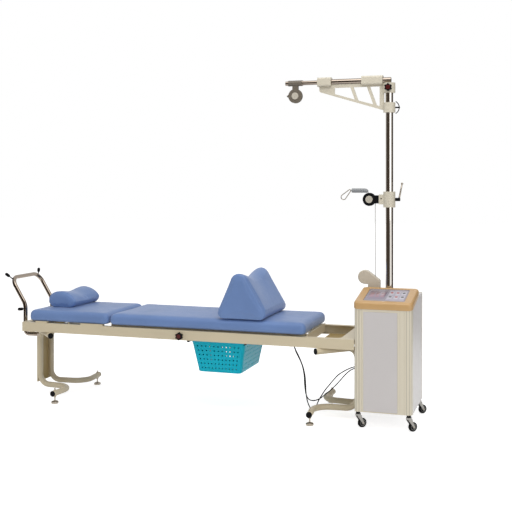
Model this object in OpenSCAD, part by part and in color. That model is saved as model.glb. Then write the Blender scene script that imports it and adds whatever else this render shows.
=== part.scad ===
// Traction table: a padded two-section table on two C-shaped legs, docked to a
// traction cabinet with casters, a mast, a pulley clamp and an overhead arm.
// Lengths are millimetres. X runs along the table towards the cabinet, Z is up.

/* [Table frame] */
// Room from the main cushion's foot end to the foot leg's columns, for its travel
foot_room = 294; // [280:2:420]
// How far the head end of the frame stands past its column
head_overhang = 19; // [12:1:24]
// Width over the outer faces of the side rails
frame_w = 586; // [560:2:640]
// Height of a side rail
rail_h = 65; // [62:1:72]
// Width of a side rail's flanges
rail_w = 40; // [38:1:46]
// Wall of the side rails
rail_t = 4; // [3:0.5:4.5]
// Height of the rails' top above the floor
rail_top = 558; // [540:2:600]
// Width of the plate that ties the rails at the cabinet end
end_plate_w = 94; // [80:2:100]
// Width of a cross member
cross_w = 40; // [30:1:50]
// Height of a cross member
cross_h = 17; // [12:1:17]

/* [Legs] */
// Outer diameter of the bent leg tubes
tube_d = 40; // [36:1:42]
// Wall of the leg tubes
tube_t = 2.5; // [2:0.5:4]
// Distance of each column tube from the table's centre plane
column_y = 75; // [65:1:85]
// Length of a leg's arm, from the column to the bend at its end
arm_run = 282; // [260:2:320]
// How far an arm spreads outwards along that run
arm_spread = 25; // [15:1:35]
// Distance of an arm's end from the table's centre plane
arm_reach = 338; // [300:1:360]
// How far the arm's end leans back towards its column
arm_lean = 22; // [10:1:30]
// Bend radius between column and arm
column_bend = 75; // [60:1:90]
// Bend radius near the arm's end
arm_bend = 110; // [90:1:120]
// Height of the lower arm's centre line above the floor
arm_z = 72; // [66:1:80]
// Diameter of a levelling foot's pad
pad_d = 52; // [44:1:60]
// Diameter of a levelling foot's stem
stem_d = 10; // [8:1:12]
// Distance along X from the columns to an upper arm's end
top_arm_run = 224; // [200:2:250]
// Distance from the middle line to an upper arm's end
top_arm_reach = 306; // [280:2:330]

/* [Cushions] */
// Length of the head cushion
head_len = 634; // [560:2:700]
// Length of the main cushion
main_len = 1412; // [1300:2:1600]
// Width of both cushions
cushion_w = 600; // [580:2:620]
// Thickness of both cushions
cushion_h = 80; // [60:1:90]
// Gap between the two cushions
cushion_gap = 4; // [3:1:10]
// Distance from the head end of the frame to the head cushion
cushion_start = 53; // [48:1:110]
// Radius of the cushions' outer corners seen from above
cushion_r = 60; // [40:1:90]
// Radius of the corners where the two cushions meet
cushion_inner_r = 30; // [15:1:50]
// Length of the neck pillow across the table
pillow_len = 385; // [300:1:420]
// Width of the neck pillow along the table
pillow_w = 225; // [170:1:250]
// Height of the neck pillow
pillow_h = 124; // [90:1:140]
// Length of the knee bolster across the table
bolster_len = 520; // [480:2:560]
// Width of the knee bolster's base
bolster_w = 322; // [290:2:340]
// Height of the knee bolster's ends
bolster_h = 310; // [260:2:330]

/* [Strap bar] */
// Diameter of the chromed strap bar
bar_d = 30; // [26:1:32]
// Distance between the strap bar's two uprights
bar_w = 366; // [340:2:450]
// Height of the strap bar's top above the rails
bar_rise = 300; // [270:2:330]
// How far the top of the strap bar leans past its foot
bar_lean = 120; // [90:2:140]

/* [Basket] */
// Length of the basket's rim along the table
basket_len = 385; // [360:1:430]
// Width of the basket's rim across the table
basket_w = 480; // [440:2:490]
// Depth of the basket
basket_h = 216; // [180:2:230]
// How far each basket wall draws in towards its floor
basket_taper = 40; // [25:1:60]
// Wall of the basket
basket_t = 3; // [2.5:0.5:4]

/* [Cabinet] */
// Length of the cabinet along the table
cab_len = 366; // [350:2:380]
// Depth of the cabinet across the table
cab_depth = 516; // [500:2:530]
// Distance from the table's centre plane to the cabinet's front face
cab_front = 300; // [290:1:310]
// Height of the cabinet's underside above the floor
cab_z = 108; // [104:1:114]
// Height of the cabinet's front edge, under the console
cab_front_top = 757; // [720:1:780]
// Wall of the cabinet
cab_t = 8; // [5:1:12]
// Radius of the cabinet's upright corners
cab_r = 26; // [20:1:36]
// Width of the cabinet's front panel
front_panel_w = 214; // [200:2:240]
// Thickness of the console, measured upright
console_h = 47; // [40:1:54]
// Rise of the sloping console from front to back
console_rise = 61; // [40:1:70]
// Depth of the sloping console
console_depth = 322; // [300:2:340]

/* [Casters] */
// Diameter of a caster wheel
wheel_d = 60; // [56:1:66]
// Width of a caster wheel
wheel_w = 22; // [18:1:24]
// How far a caster's wheel trails its swivel
trail = 30; // [24:1:34]
// Direction in which the casters trail
trail_turn = 45; // [0:5:90]

/* [Mast] */
// Diameter of the mast
mast_d = 50.8; // [48:0.2:54]
// Distance from the cabinet's left side to the mast
mast_inset = 163; // [150:1:180]
// Distance of the mast and its pulleys behind the table's centre plane
mast_y = 75; // [70:1:85]
// Height of the pulley clamp above the floor
clamp_z = 1443; // [1300:5:1600]
// Height of the overhead arm's rod above the floor
arm_rod_z = 2240; // [1850:1:2400]

/* [Pulleys and rope] */
// Radius of the lower pulley's cheeks
lower_r = 44; // [40:1:46]
// Distance from the mast to the lower pulley
lower_reach = 134; // [130:1:140]
// Radius of the overhead pulley's cheeks
upper_r = 49; // [44:1:52]
// Diameter of the rope
rope_d = 4; // [3:0.5:5]

/* [Overhead arm] */
// Diameter of the arm's outer tube
arm_tube_d = 38; // [36:1:40]
// Diameter of the arm's sliding rod
arm_rod_d = 30; // [26:1:31]
// Length of the arm's outer tube
arm_tube_len = 500; // [480:2:520]
// How far the sliding rod stands out of the outer tube
arm_rod_out = 230; // [200:2:260]
// Thickness of the arm's truss plate
truss_t = 14; // [10:1:20]

/* [Hidden] */
$fn = 48;

// Clearances and overruns that every piece shares
seat_gap = 0.3;
run_gap = 0.05;
cut = 1;
weld = 1;
seam = 0.04;
step = 0.02;

// Frame places, from the table's own middle
column_x = (cushion_start - head_overhang + head_len + cushion_gap + main_len + foot_room) / 2;
head_x = -column_x - head_overhang;
dock_gap = 2;
deck_gap = 36;
cab_x = column_x + tube_d / 2 + dock_gap;
rail_bottom = rail_top - rail_h;
rail_in_y = frame_w / 2 - rail_w;

// Leg places
top_arm_z = rail_bottom - tube_d / 2 - seat_gap;
arm_root_y = column_y + arm_spread;
foot_y = arm_reach - pad_d / 2;
foot_x = column_x - arm_run + arm_lean * (foot_y - arm_root_y) / (arm_reach - arm_root_y);
cap_t = 4;
cap_plug = 14;
stem_above = 15;
pad_h = 20;
boss_d = 22;
nut_d = 19;
nut_h = 7;
panel_t = 9;

// Cushion places
cushion_lift = 12;
cushion_z = rail_top + cushion_lift;
cushion_x = head_x + cushion_start;
main_x = cushion_x + head_len + cushion_gap;
main_end = main_x + main_len;
cushion_top = cushion_z + cushion_h;
cushion_crown = 8;
cushion_pull = 5;
cushion_edge = 33;
pillow_x = cushion_x + 0.283 * head_len;
pillow_y = 52;
bolster_x = main_x + 0.691 * main_len;
bolster_y = -30;

// Strap bar places
bar_out = 24;
bar_saddle = 22;
bar_x = head_x - bar_d / 2 - bar_out;
bar_tail = 104;
bar_z = rail_bottom - bar_saddle - bar_d / 2;
bar_knee_z = rail_top + 0.36 * bar_rise;
bar_top_z = rail_top + bar_rise;
bar_bend = 72;
bar_t = 2;
peg_len = 78;
knee_peg_len = 46;
peg_d = 8;
peg_knob_d = 22;
peg_knob_len = 20;

// Carriage sizes
roller_r = 27;
roller_w = 20;
axle_d = 16;
beam_y = 225;
beam_t = 12;
beam_top = cushion_z - seat_gap;
carriage_clear = 2;
carriage_z = rail_bottom + cross_h + carriage_clear;
roller_z = rail_bottom + rail_t + roller_r + seat_gap;
axle_xs = [main_x + 0.07 * main_len, main_x + 0.93 * main_len];
plate_t = 6;

// Basket places
basket_drop = 5;
basket_r = 24;
basket_x = main_x + 0.558 * main_len;
basket_top = rail_bottom - basket_drop;
lip_w = 10;
lip_t = 5;
runner_t = 3;
runner_w = 14;

// Cabinet places
cab_back = cab_depth - cab_front;
deck_z = cab_front_top + console_rise;
panel_shift = 15;
panel_left_w = (cab_len - front_panel_w) / 2 - panel_shift;
panel_right_w = cab_len - front_panel_w - panel_left_w;
panel_proud = 3;
base_t = 10;
caster_inset = 23;
caster_step = 2;
collar_len = 17;
collar_d = 28;
race_d = 36;
race_h = 10;
fork_top = cab_z - collar_len;
fork_t = 3;
fork_w = 18;
wheel_gap = 1.5;
axle_small = 8;
axle_proud = 1;
caster_xs = [cab_x + caster_inset, cab_x + cab_len - caster_inset];
caster_ys = [-cab_front + caster_inset + caster_step, cab_back - caster_inset - caster_step];

// Mast places
mast_x = cab_x + mast_inset;
mast_below_rod = 26;
mast_top = arm_rod_z - mast_below_rod;
sleeve_d = 80;
sleeve_h = 105;
block_out = 68;
block_h = 66;
block_w = 36;
spindle_d = 10;
cheek_t = 4;
cheek_gap = 14;
lower_x = mast_x - lower_reach;
groove_r = lower_r - cheek_t;
pulley_w = 12;
pin_d = 12;
hub_r = 24;
hub_t = 5;
rope_x = lower_x + groove_r;
guide_r = 46;
guide_low_r = 22;
guide_w = 52;
guide_t = 4;
guide_rise = 105;
guide_z = cab_front_top + console_rise + guide_rise;
guide_wheel_r = 20;
guide_wheel_z = guide_z - guide_wheel_r;

// Rope end and hook places
sleeve_len = 120;
sleeve_bar_d = 28;
sleeve_gap = 1;
sleeve_z = clamp_z + lower_r + sleeve_bar_d / 2 + sleeve_gap;
eye_r = 6;
eye_wire = 2.5;
eye_at = [lower_x - sleeve_len - eye_r + weld, mast_y, 0];
hook_wire = 6;
hook_len = 62;
hook_big_r = 17;
hook_small_r = 7;
hook_turn = 226;
hook_rest = eye_r - eye_wire / 2 - hook_wire / 2 - seat_gap;
hook_at = [eye_at.x - hook_small_r - hook_rest, mast_y, sleeve_z];

// Overhead arm places
collar_h = 66;
collar_proud = 6;
collar_wall = 12;
collar_drop = 185;
tube_past_mast = 12;
hanger_in = 70;
hanger_drop = 88;
hanger_w = 40;
hanger_sleeve_len = 96;
hanger_wall = 5;
upper_collar_z = mast_top - collar_h / 2 + collar_proud;
lower_collar_z = arm_rod_z - collar_drop;
tube_end_x = mast_x + tube_past_mast;
tube_start_x = tube_end_x - arm_tube_len;
rod_end_x = tube_start_x - arm_rod_out;
upper_x = rod_end_x + hanger_in;
upper_z = arm_rod_z - hanger_drop;
truss_top = arm_rod_z - arm_tube_d / 2;
chord_h = 22;
post_w = 30;
truss_lap = 6;
truss_in = 10;
truss_drop = 18;
left_collar = [tube_start_x, tube_start_x + 0.188 * arm_tube_len];
right_collar = [mast_x - 0.368 * arm_tube_len, mast_x - 0.084 * arm_tube_len];

// Console and knob sizes
console_over = 4;
console_lip = 6;
tray_side = 52;
tray_d = 4;
rail_knob_shift = 17;
rail_knob_z = rail_bottom + 0.42 * rail_h;
knob_d = 52;
knob_h = 20;
knob_stem = 10;

// Where a wheel's tread turns into its side, as shares of its diameter and width
wheel_round_share = 0.47;
wheel_side_share = 0.42;

// Shift that puts the origin under the middle of the whole object
corner_point = [bar_x - bar_lean, -bar_w / 2, bar_top_z];
lean_dir = unit([-bar_lean, 0, bar_top_z - bar_knee_z]);
peg_dir = -unit([-lean_dir.x, 1, -lean_dir.z]);
corner_mid = corner_point - peg_dir * bar_bend * (sqrt(2) - 1);
peg_end_x = corner_mid.x + peg_dir.x * peg_len - peg_knob_d / 2;
wheel_end_x = caster_xs[1] + trail * cos(trail_turn)
    + wheel_round_share * wheel_d * cos(trail_turn) + wheel_side_share * wheel_w * sin(trail_turn);
origin_x = (peg_end_x + wheel_end_x) / 2;

// Routes of the two signal cables, from the gland to the cabinet's side at X 0
cable_d = 7;
gland_len = 16;
cable_1_points = [[-419, -246, 491], [-412, -246, 491], [-404, -245, 482], [-394, -243, 460],
    [-380, -238, 430], [-365, -224, 387], [-354, -204, 338], [-350, -178, 280], [-353, -150, 218],
    [-357, -126, 160], [-355, -103, 105], [-344, -80, 57], [-328, -62, 34], [-310, -50, 54],
    [-294, -42, 92], [-274, -40, 128], [-245, -46, 172], [-206, -58, 220], [-158, -76, 276],
    [-110, -94, 313], [-63, -110, 340], [-31, -120, 353], [-11, -125, 358], [0, -125, 358]];
cable_2_points = [[-419, -233, 491], [-413, -233, 491], [-407, -232, 478], [-399, -228, 450],
    [-386, -221, 420], [-371, -206, 380], [-363, -186, 337], [-361, -160, 282], [-366, -130, 220],
    [-366, -106, 161], [-360, -94, 130], [-349, -86, 110], [-332, -77, 101], [-310, -68, 101],
    [-284, -61, 111], [-261, -58, 128], [-237, -60, 149], [-208, -66, 173], [-178, -76, 203],
    [-141, -90, 243], [-105, -104, 285], [-68, -120, 322], [-33, -136, 344], [-11, -142, 350],
    [0, -142, 350]];
cable_1_route = [for (p = cable_1_points) p + [cab_x, 0, 0]];
cable_2_route = [for (p = cable_2_points) p + [cab_x, 0, 0]];

function unit(v) = v / norm(v);
function flip_y(p) = [p.x, -p.y, p.z];

module placed() {
    translate([-origin_x, 0, 0]) children();
}

// A straight round bar or tube between two points
module bar(a, b, d, bore = 0) {
    v = b - a;
    length = norm(v);
    translate(a) rotate([0, acos(v.z / length), atan2(v.y, v.x)])
        linear_extrude(length) ring(d, bore);
}

module ring(d, bore) {
    difference() {
        circle(d = d);
        if (bore > 0) circle(d = bore);
    }
}

// An elbow that turns from direction u at corner p to direction v
module elbow(p, u, v, r, d, bore) {
    turn = acos(u * v);
    inward = unit(v - u * (u * v));
    start = p - u * r * tan(turn / 2);
    axis_z = cross(-inward, u);
    c = start + inward * r;
    multmatrix([[-inward.x, u.x, axis_z.x, c.x], [-inward.y, u.y, axis_z.y, c.y],
        [-inward.z, u.z, axis_z.z, c.z], [0, 0, 0, 1]])
        rotate_extrude(angle = turn) translate([r, 0]) ring(d, bore);
}

// A short sleeve inside the wall that joins a straight run to an elbow at p
module wall_core(p, u, d, bore) {
    wall = (d - bore) / 2;
    bar(p - u * weld, p + u * weld, d - wall / 2, bore > 0 ? bore + wall / 2 : 0);
}

// A tube that follows straight runs with an elbow of radius radii[i] at corner i
module bent_tube(points, radii, d, bore = 0) {
    last = len(points) - 1;
    dirs = [for (i = [0:last - 1]) unit(points[i + 1] - points[i])];
    trims = [for (i = [0:last]) i == 0 || i == last ? 0
        : radii[i] * tan(acos(dirs[i - 1] * dirs[i]) / 2)];
    for (i = [0:last - 1])
        bar(points[i] + dirs[i] * (trims[i] + (i == 0 ? 0 : seam)),
            points[i + 1] - dirs[i] * (trims[i + 1] + (i == last - 1 ? 0 : seam)), d, bore);
    for (i = [1:last - 1]) {
        elbow(points[i], dirs[i - 1], dirs[i], radii[i], d, bore);
        wall_core(points[i] - dirs[i - 1] * trims[i], dirs[i - 1], d, bore);
        wall_core(points[i] + dirs[i] * trims[i], dirs[i], d, bore);
    }
}

// A tube mesh swept along a hand-made route, for cables
module cord(route, d, sides = 8) {
    last = len(route) - 1;
    rings = [for (i = [0:last])
        let (t = unit(route[min(i + 1, last)] - route[max(i - 1, 0)]),
            s = unit(cross(t, [0.3, 1, 0.1])), w = cross(s, t))
        for (k = [0:sides - 1])
            route[i] + (s * cos(360 * k / sides) + w * sin(360 * k / sides)) * d / 2];
    skin = [for (i = [0:last - 1]) for (k = [0:sides - 1])
        let (a = i * sides + k, b = i * sides + (k + 1) % sides)
        each [[a, b, b + sides], [a, b + sides, a + sides]]];
    ends = [for (k = [1:sides - 2])
        each [[0, k + 1, k], [last * sides, last * sides + k, last * sides + k + 1]]];
    polyhedron(rings, concat(skin, ends));
}

// A plate with rounded upright corners, centred in X and Y
module slab(w, l, h, r) {
    linear_extrude(h) rounded(w, l, r);
}

module rounded(w, l, r) {
    square([w - 2 * r, l], center = true);
    square([w, l - 2 * r], center = true);
    for (sx = [-1, 1]) for (sy = [-1, 1])
        translate([sx * (w / 2 - r), sy * (l / 2 - r)]) circle(r);
}

// Side rails, a C-channel open towards the middle

module channel_profile() {
    difference() {
        square([rail_w, rail_h]);
        translate([-cut, rail_t]) square([rail_w - rail_t + cut, rail_h - 2 * rail_t]);
    }
}

module side_rail() {
    start = head_x + rail_w;
    translate([start, rail_in_y, rail_bottom]) rotate([90, 0, 90])
        linear_extrude(cab_x - start) channel_profile();
}

module near_rail() {
    color("wheat") placed() mirror([0, 1, 0]) side_rail();
}

module far_rail() {
    color("wheat") placed() side_rail();
}

module head_end_beam() {
    corner_r = 2 * rail_t;
    color("wheat") placed() {
        difference() {
            translate([head_x, 0, rail_bottom]) linear_extrude(rail_h) {
                translate([0, -frame_w / 2 + corner_r]) square([rail_w, frame_w - 2 * corner_r]);
                translate([corner_r, -frame_w / 2]) square([rail_w - corner_r, frame_w]);
                for (s = [-1, 1]) translate([corner_r, s * (frame_w / 2 - corner_r)])
                    circle(corner_r);
            }
            translate([head_x + rail_t, -frame_w / 2 + rail_t, rail_bottom + rail_t])
                cube([rail_w + cut, frame_w - 2 * rail_t, rail_h - 2 * rail_t]);
        }
        for (s = [-1, 1])
            translate([head_x + rail_t, s * bar_w / 2 - bar_d / 2, bar_z + bar_d / 2 + seat_gap])
                cube([rail_w - 2 * rail_t, bar_d, bar_saddle - seat_gap + weld]);
    }
}

// Plate with hollowed corners that ties the rails at the cabinet
module foot_end_plate() {
    fillet = 0.43 * end_plate_w;
    inner_x = cab_x - end_plate_w - fillet;
    color("wheat") placed() translate([0, 0, rail_top - plate_t]) linear_extrude(plate_t)
        difference() {
            translate([inner_x, -rail_in_y]) square([cab_x - inner_x, 2 * rail_in_y]);
            translate([inner_x - cut, -rail_in_y + fillet])
                square([fillet + cut, 2 * (rail_in_y - fillet)]);
            for (s = [-1, 1]) translate([inner_x, s * (rail_in_y - fillet)]) circle(fillet);
        }
}

// Flat tubes that tie the rails under the carriage, and the deck by the cabinet
module cross_members() {
    deck_x = main_end + deck_gap;
    xs = [head_x + 1.75 * cross_w, main_x + 0.3 * main_len, basket_x + 0.62 * basket_len];
    color("wheat") placed() {
        for (x = xs) translate([x, 0, rail_bottom + cross_h / 2]) difference() {
            cube([cross_w, 2 * rail_in_y, cross_h], center = true);
            cube([cross_w - 2 * rail_t, 2 * rail_in_y + 2 * cut, cross_h - 2 * rail_t],
                center = true);
        }
        translate([deck_x, -rail_in_y, rail_bottom])
            cube([cab_x - end_plate_w * 0.6 - deck_x, 2 * rail_in_y, plate_t]);
    }
}

// Legs: each is two C-shaped bent tubes with a panel between their columns
function leg_path(s) = [
    [-column_x + top_arm_run, s * top_arm_reach, top_arm_z],
    [-column_x, s * column_y, top_arm_z],
    [-column_x, s * column_y, arm_z],
    [-column_x + arm_run, s * arm_root_y, arm_z],
    [-column_x + arm_run - arm_lean, s * arm_reach, arm_z]];
leg_radii = [0, column_bend, column_bend, arm_bend, 0];

module leg() {
    panel_low = arm_z + 0.4 * tube_d;
    panel_high = top_arm_z - 0.4 * tube_d;
    panel_w = 2 * column_y + 0.85 * tube_d;
    difference() {
        union() {
            for (s = [-1, 1]) {
                bent_tube(leg_path(s), leg_radii, tube_d, tube_d - 2 * tube_t);
                translate([-foot_x, s * foot_y, arm_z - tube_d / 2 - cut])
                    cylinder(d = boss_d, h = tube_d + 2 * cut);
            }
            translate([-column_x - 0.48 * tube_d, -panel_w / 2, panel_low])
                cube([panel_t, panel_w, panel_high - panel_low]);
        }
        for (s = [-1, 1]) translate([-foot_x, s * foot_y, arm_z - tube_d])
            cylinder(d = stem_d + 2 * run_gap, h = 2 * tube_d);
    }
}

module head_leg() {
    color("wheat") placed() leg();
}

module foot_leg() {
    color("wheat") placed() mirror([1, 0, 0]) leg();
}

// Black caps that close the eight arm ends
module end_cap(p, dir) {
    bar(p + dir * seat_gap, p + dir * cap_t, tube_d);
    bar(p - dir * cap_plug, p + dir * cap_t / 2, tube_d - 2 * tube_t - 2 * run_gap);
}

module tube_end_caps() {
    color("dimgray") placed() for (m = [0, 1]) mirror([m, 0, 0]) for (s = [-1, 1]) {
        path = leg_path(s);
        end_cap(path[0], unit(path[0] - path[1]));
        end_cap(path[4], unit(path[4] - path[3]));
    }
}

// Levelling foot: pad, stem and jam nut
module levelling_foot(sx, sy) {
    nut_z = arm_z - tube_d / 2 - cut - nut_h - seat_gap;
    color("silver") placed() translate([sx * foot_x, sy * foot_y, 0]) {
        rotate_extrude() polygon([[0, 0], [pad_d * 0.46, 0], [pad_d * 0.5, pad_h * 0.2],
            [pad_d * 0.5, pad_h * 0.6], [pad_d * 0.38, pad_h * 0.85], [stem_d * 0.9, pad_h],
            [0, pad_h]]);
        translate([0, 0, pad_h / 2])
            cylinder(d = stem_d, h = arm_z + tube_d / 2 + stem_above - pad_h / 2);
        translate([0, 0, nut_z]) cylinder(d = nut_d, h = nut_h, $fn = 6);
    }
}

// Chromed U-bar at the head end, bent out of one tube
function bar_side(s) = [[bar_x + bar_tail, s * bar_w / 2, bar_z], [bar_x, s * bar_w / 2, bar_z],
    [bar_x, s * bar_w / 2, bar_knee_z], [bar_x - bar_lean, s * bar_w / 2, bar_top_z]];

module strap_bar() {
    near = bar_side(-1);
    far = bar_side(1);
    path = concat(near, [far[3], far[2], far[1], far[0]]);
    radii = [0, bar_d, bar_bend * 1.5, bar_bend, bar_bend, bar_bend * 1.5, bar_d, 0];
    color("silver") placed() {
        bent_tube(path, radii, bar_d, bar_d - 2 * bar_t);
        for (p = [near[0], far[0]])
            bar(p - [cap_t, 0, 0], p, bar_d - bar_t);
    }
}

// Black-headed pegs that straps hook over
module peg(p, dir, reach) {
    root = p + dir * (bar_d / 2 + seat_gap);
    tip = p + dir * reach;
    knob_r = peg_knob_d / 2;
    start = reach - peg_knob_len - bar_d / 2 - seat_gap - knob_r;
    end = reach - bar_d / 2 - seat_gap + knob_r;
    translate(root) rotate([0, acos(dir.z), atan2(dir.y, dir.x)])
        rotate_extrude() polygon(concat([[0, 0], [peg_d / 2, 0], [peg_d / 2, start]],
            [for (a = [-60:20:0]) [knob_r * cos(a), start + knob_r + knob_r * sin(a)]],
            [for (a = [0:20:80]) [knob_r * cos(a), end - knob_r + knob_r * sin(a)]],
            [[0, end]]));
}

module strap_pegs() {
    knee = [bar_x, -bar_w / 2, bar_knee_z - bar_d];
    color("dimgray") placed() for (m = [0, 1]) mirror([0, m, 0]) {
        peg(corner_mid, peg_dir, peg_len);
        peg(knee, unit([-1, -1, 0]), knee_peg_len);
    }
}

// One ring of a cushion: a rounded rectangle drawn in by inset, with bowed sides. The
// corner radius is rs[0] on the right and rs[1] on the left.
function cushion_corner(q, a, b, rs, inset) =
    let (sx = q == 0 || q == 3 ? 1 : -1, sy = q < 2 ? 1 : -1, r = sx > 0 ? rs[0] : rs[1],
        rr = max(r - inset, r * 0.12))
    [sx * (a - inset - rr), sy * (b - inset - rr), rr];

function cushion_ring(a, b, rs, inset, pull, z, corner_n, side_n) =
    [for (q = [0:3])
        let (sx = q == 0 || q == 3 ? 1 : -1, sy = q < 2 ? 1 : -1,
            c = cushion_corner(q, a, b, rs, inset), d = cushion_corner((q + 1) % 4, a, b, rs, inset),
            long_next = q == 0 || q == 2)
        each concat(
            [for (k = [0:corner_n]) let (m = sx * sy > 0 ? k : corner_n - k, t = 90 * m / corner_n)
                [c.x + sx * c.z * cos(t), c.y + sy * c.z * sin(t), z]],
            [for (k = [1:side_n])
                let (t = k / (side_n + 1), bow = pull * sin(180 * t))
                long_next ? [c.x + (d.x - c.x) * t, sy * (b - inset - bow), z]
                    : [sx * (a - inset - bow), c.y + (d.y - c.y) * t, z]])];

// A padded cushion with round edges, a crowned top and sides drawn in between corners
module cushion(l, w, h, rs, edge, crown, pull, corner_n = 4, side_n = 5) {
    a = l / 2;
    b = w / 2;
    edge_shares = [[0.8, 0], [0.3, 0.06], [0.05, 0.2], [0, 0.38], [0.08, 0.62], [0.36, 0.87], [1, 1]];
    top_shares = [0.12, 0.25, 0.42, 0.94];
    rings = concat(
        [for (e = edge_shares) cushion_ring(a, b, rs, e[0] * edge, pull, e[1] * (h - crown),
            corner_n, side_n)],
        [for (s = top_shares) cushion_ring(a, b, rs, edge + s * (b - edge), pull * (1 - s),
            h - crown + crown * sin(90 * min(1, s / top_shares[2])), corner_n, side_n)]);
    loft(rings);
}

// Skin through rings of equal count, closed by a flat fan at each end
module loft(rings) {
    n = len(rings[0]);
    m = len(rings);
    points = [for (r = rings) each r];
    low = len(points);
    first = centre(rings[0]);
    last = centre(rings[m - 1]);
    skin = [for (i = [0:m - 2]) for (k = [0:n - 1])
        let (p = i * n + k, q = i * n + (k + 1) % n)
        each [[p, q + n, q], [p, p + n, q + n]]];
    floor_fan = [for (k = [0:n - 1]) [k, (k + 1) % n, low]];
    roof_fan = [for (k = [0:n - 1]) [(m - 1) * n + (k + 1) % n, (m - 1) * n + k, low + 1]];
    polyhedron(concat(points, [first, last]), concat(skin, floor_fan, roof_fan));
}

function centre(ring) = ([for (p = ring) 1] * ring) / len(ring);

module head_cushion() {
    color("cornflowerblue") placed() translate([cushion_x + head_len / 2, 0, cushion_z])
        cushion(head_len, cushion_w, cushion_h, [cushion_inner_r, cushion_r], cushion_edge,
            cushion_crown, cushion_pull);
}

module main_cushion() {
    color("cornflowerblue") placed() translate([main_x + main_len / 2, 0, cushion_z])
        cushion(main_len, cushion_w, cushion_h, [cushion_r, cushion_inner_r], cushion_edge,
            cushion_crown, cushion_pull);
}

// Blocks that stand the head cushion on the rails
module head_supports() {
    block_tall = cushion_z - rail_top - seat_gap;
    color("wheat") placed() for (m = [0, 1]) mirror([0, m, 0]) {
        for (span = [[0.093, 0.14], [0.66, 0.27]])
            translate([cushion_x + span[0] * head_len, frame_w / 2 - 0.85 * rail_w, rail_top])
                cube([span[1] * head_len, 0.8 * rail_w, block_tall]);
        translate([cushion_x + 0.5 * head_len, frame_w / 2 - rail_w / 2, rail_top])
            cylinder(d = 0.25 * rail_w, h = block_tall);
    }
}

// Rolling frame under the main cushion
module carriage_frame() {
    end_y = rail_in_y - carriage_clear;
    color("wheat") placed() difference() {
        union() {
            for (s = [-1, 1])
                translate([main_x + plate_t, s * beam_y - beam_t / 2, carriage_z])
                    cube([main_len - 2 * plate_t, beam_t, beam_top - carriage_z]);
            for (x = [main_x, main_end - plate_t])
                translate([x, -end_y, carriage_z]) cube([plate_t, 2 * end_y, beam_top - carriage_z]);
            for (share = [0.33, 0.66])
                translate([main_x + share * main_len, -beam_y, beam_top - 3 * plate_t])
                    cube([4 * plate_t, 2 * beam_y, 3 * plate_t]);
        }
        for (x = axle_xs)
            translate([x, 0, roller_z]) rotate([90, 0, 0])
                cylinder(d = axle_d + 2 * run_gap, h = frame_w, center = true);
    }
}

// Axle with a roller at each end, running inside the rails
module carriage_axle(i) {
    roller_y = rail_in_y + rail_w - 2 * rail_t - roller_w / 2;
    color("silver") placed() translate([axle_xs[i], 0, roller_z]) rotate([90, 0, 0]) {
        cylinder(d = axle_d, h = 2 * roller_y, center = true);
        for (s = [-1, 1]) translate([0, 0, s * roller_y])
            cylinder(r = roller_r, h = roller_w, center = true);
    }
}

// Neck pillow: a D-shaped roll, slimmer in its middle and higher towards the head end
function pillow_point(t, w, h) =
    [w / 2 * cos(t) * (1 - 0.12 * max(0, sin(t))) - 0.09 * w * max(0, sin(t)),
        max(0, h * (0.42 + 0.58 * sin(t)))];

module neck_pillow() {
    steps = 12;
    sides = 20;
    end_shares = [for (i = [0:steps]) let (u = 2 * i / steps - 1)
        [u, pow(1 - pow(abs(u), 6), 0.5) * 0.72 + 0.28 - 0.1 * (1 - u * u)]];
    rings = [for (e = end_shares)
        [for (k = [0:sides - 1])
            let (t = 360 * k / sides, p = pillow_point(t, pillow_w * (0.9 + 0.1 * e[1]), pillow_h * e[1]))
            [p.x, e[0] * pillow_len / 2, p.y]]];
    color("cornflowerblue") placed() translate([pillow_x, pillow_y, cushion_top + seat_gap])
        loft([for (r = rings) [for (k = [0:sides - 1]) r[sides - 1 - k]]]);
}

// Knee bolster: a rounded wedge whose ridge dips in the middle
module knee_bolster() {
    steps = 12;
    apex_r = 0.19 * bolster_w;
    foot_r = 0.1 * bolster_w;
    lean = -0.09 * bolster_w;
    dip = 0.12 * bolster_h;
    rings = [for (i = [0:steps])
        let (u = 2 * i / steps - 1, edge = pow(1 - pow(abs(u), 10), 0.5), squeeze = 0.9 + 0.1 * edge,
            h = (bolster_h - dip * (1 - u * u)) * squeeze, w = bolster_w * squeeze,
            left = w / 2 - foot_r, top = h - apex_r)
        [for (arc = [[-left, foot_r, foot_r, 180, 270], [left, foot_r, foot_r, 270, 360],
                [lean, top, apex_r, 25, 155]])
            for (k = [0:5])
                let (t = arc[3] + (arc[4] - arc[3]) * k / 5)
                [arc[0] + arc[2] * cos(t), u * bolster_len / 2, arc[1] + arc[2] * sin(t)]]];
    color("cornflowerblue") placed() translate([bolster_x, bolster_y, cushion_top + seat_gap])
        loft([for (r = rings) [for (k = [0:len(r) - 1]) r[len(r) - 1 - k]]]);
}

// Lattice basket that hangs on two runners under the rails
module basket_form(inset, low) {
    floor_l = basket_len - 2 * basket_taper;
    floor_w = basket_w - 2 * basket_taper * 0.85;
    hull() {
        translate([0, 0, low])
            slab(floor_l - 2 * inset, floor_w - 2 * inset, cut, basket_r - inset, $fn = 32);
        translate([0, 0, basket_h - (low > 0 ? 0 : cut)])
            slab(basket_len - 2 * inset, basket_w - 2 * inset, cut, basket_r - inset, $fn = 32);
    }
}

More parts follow.
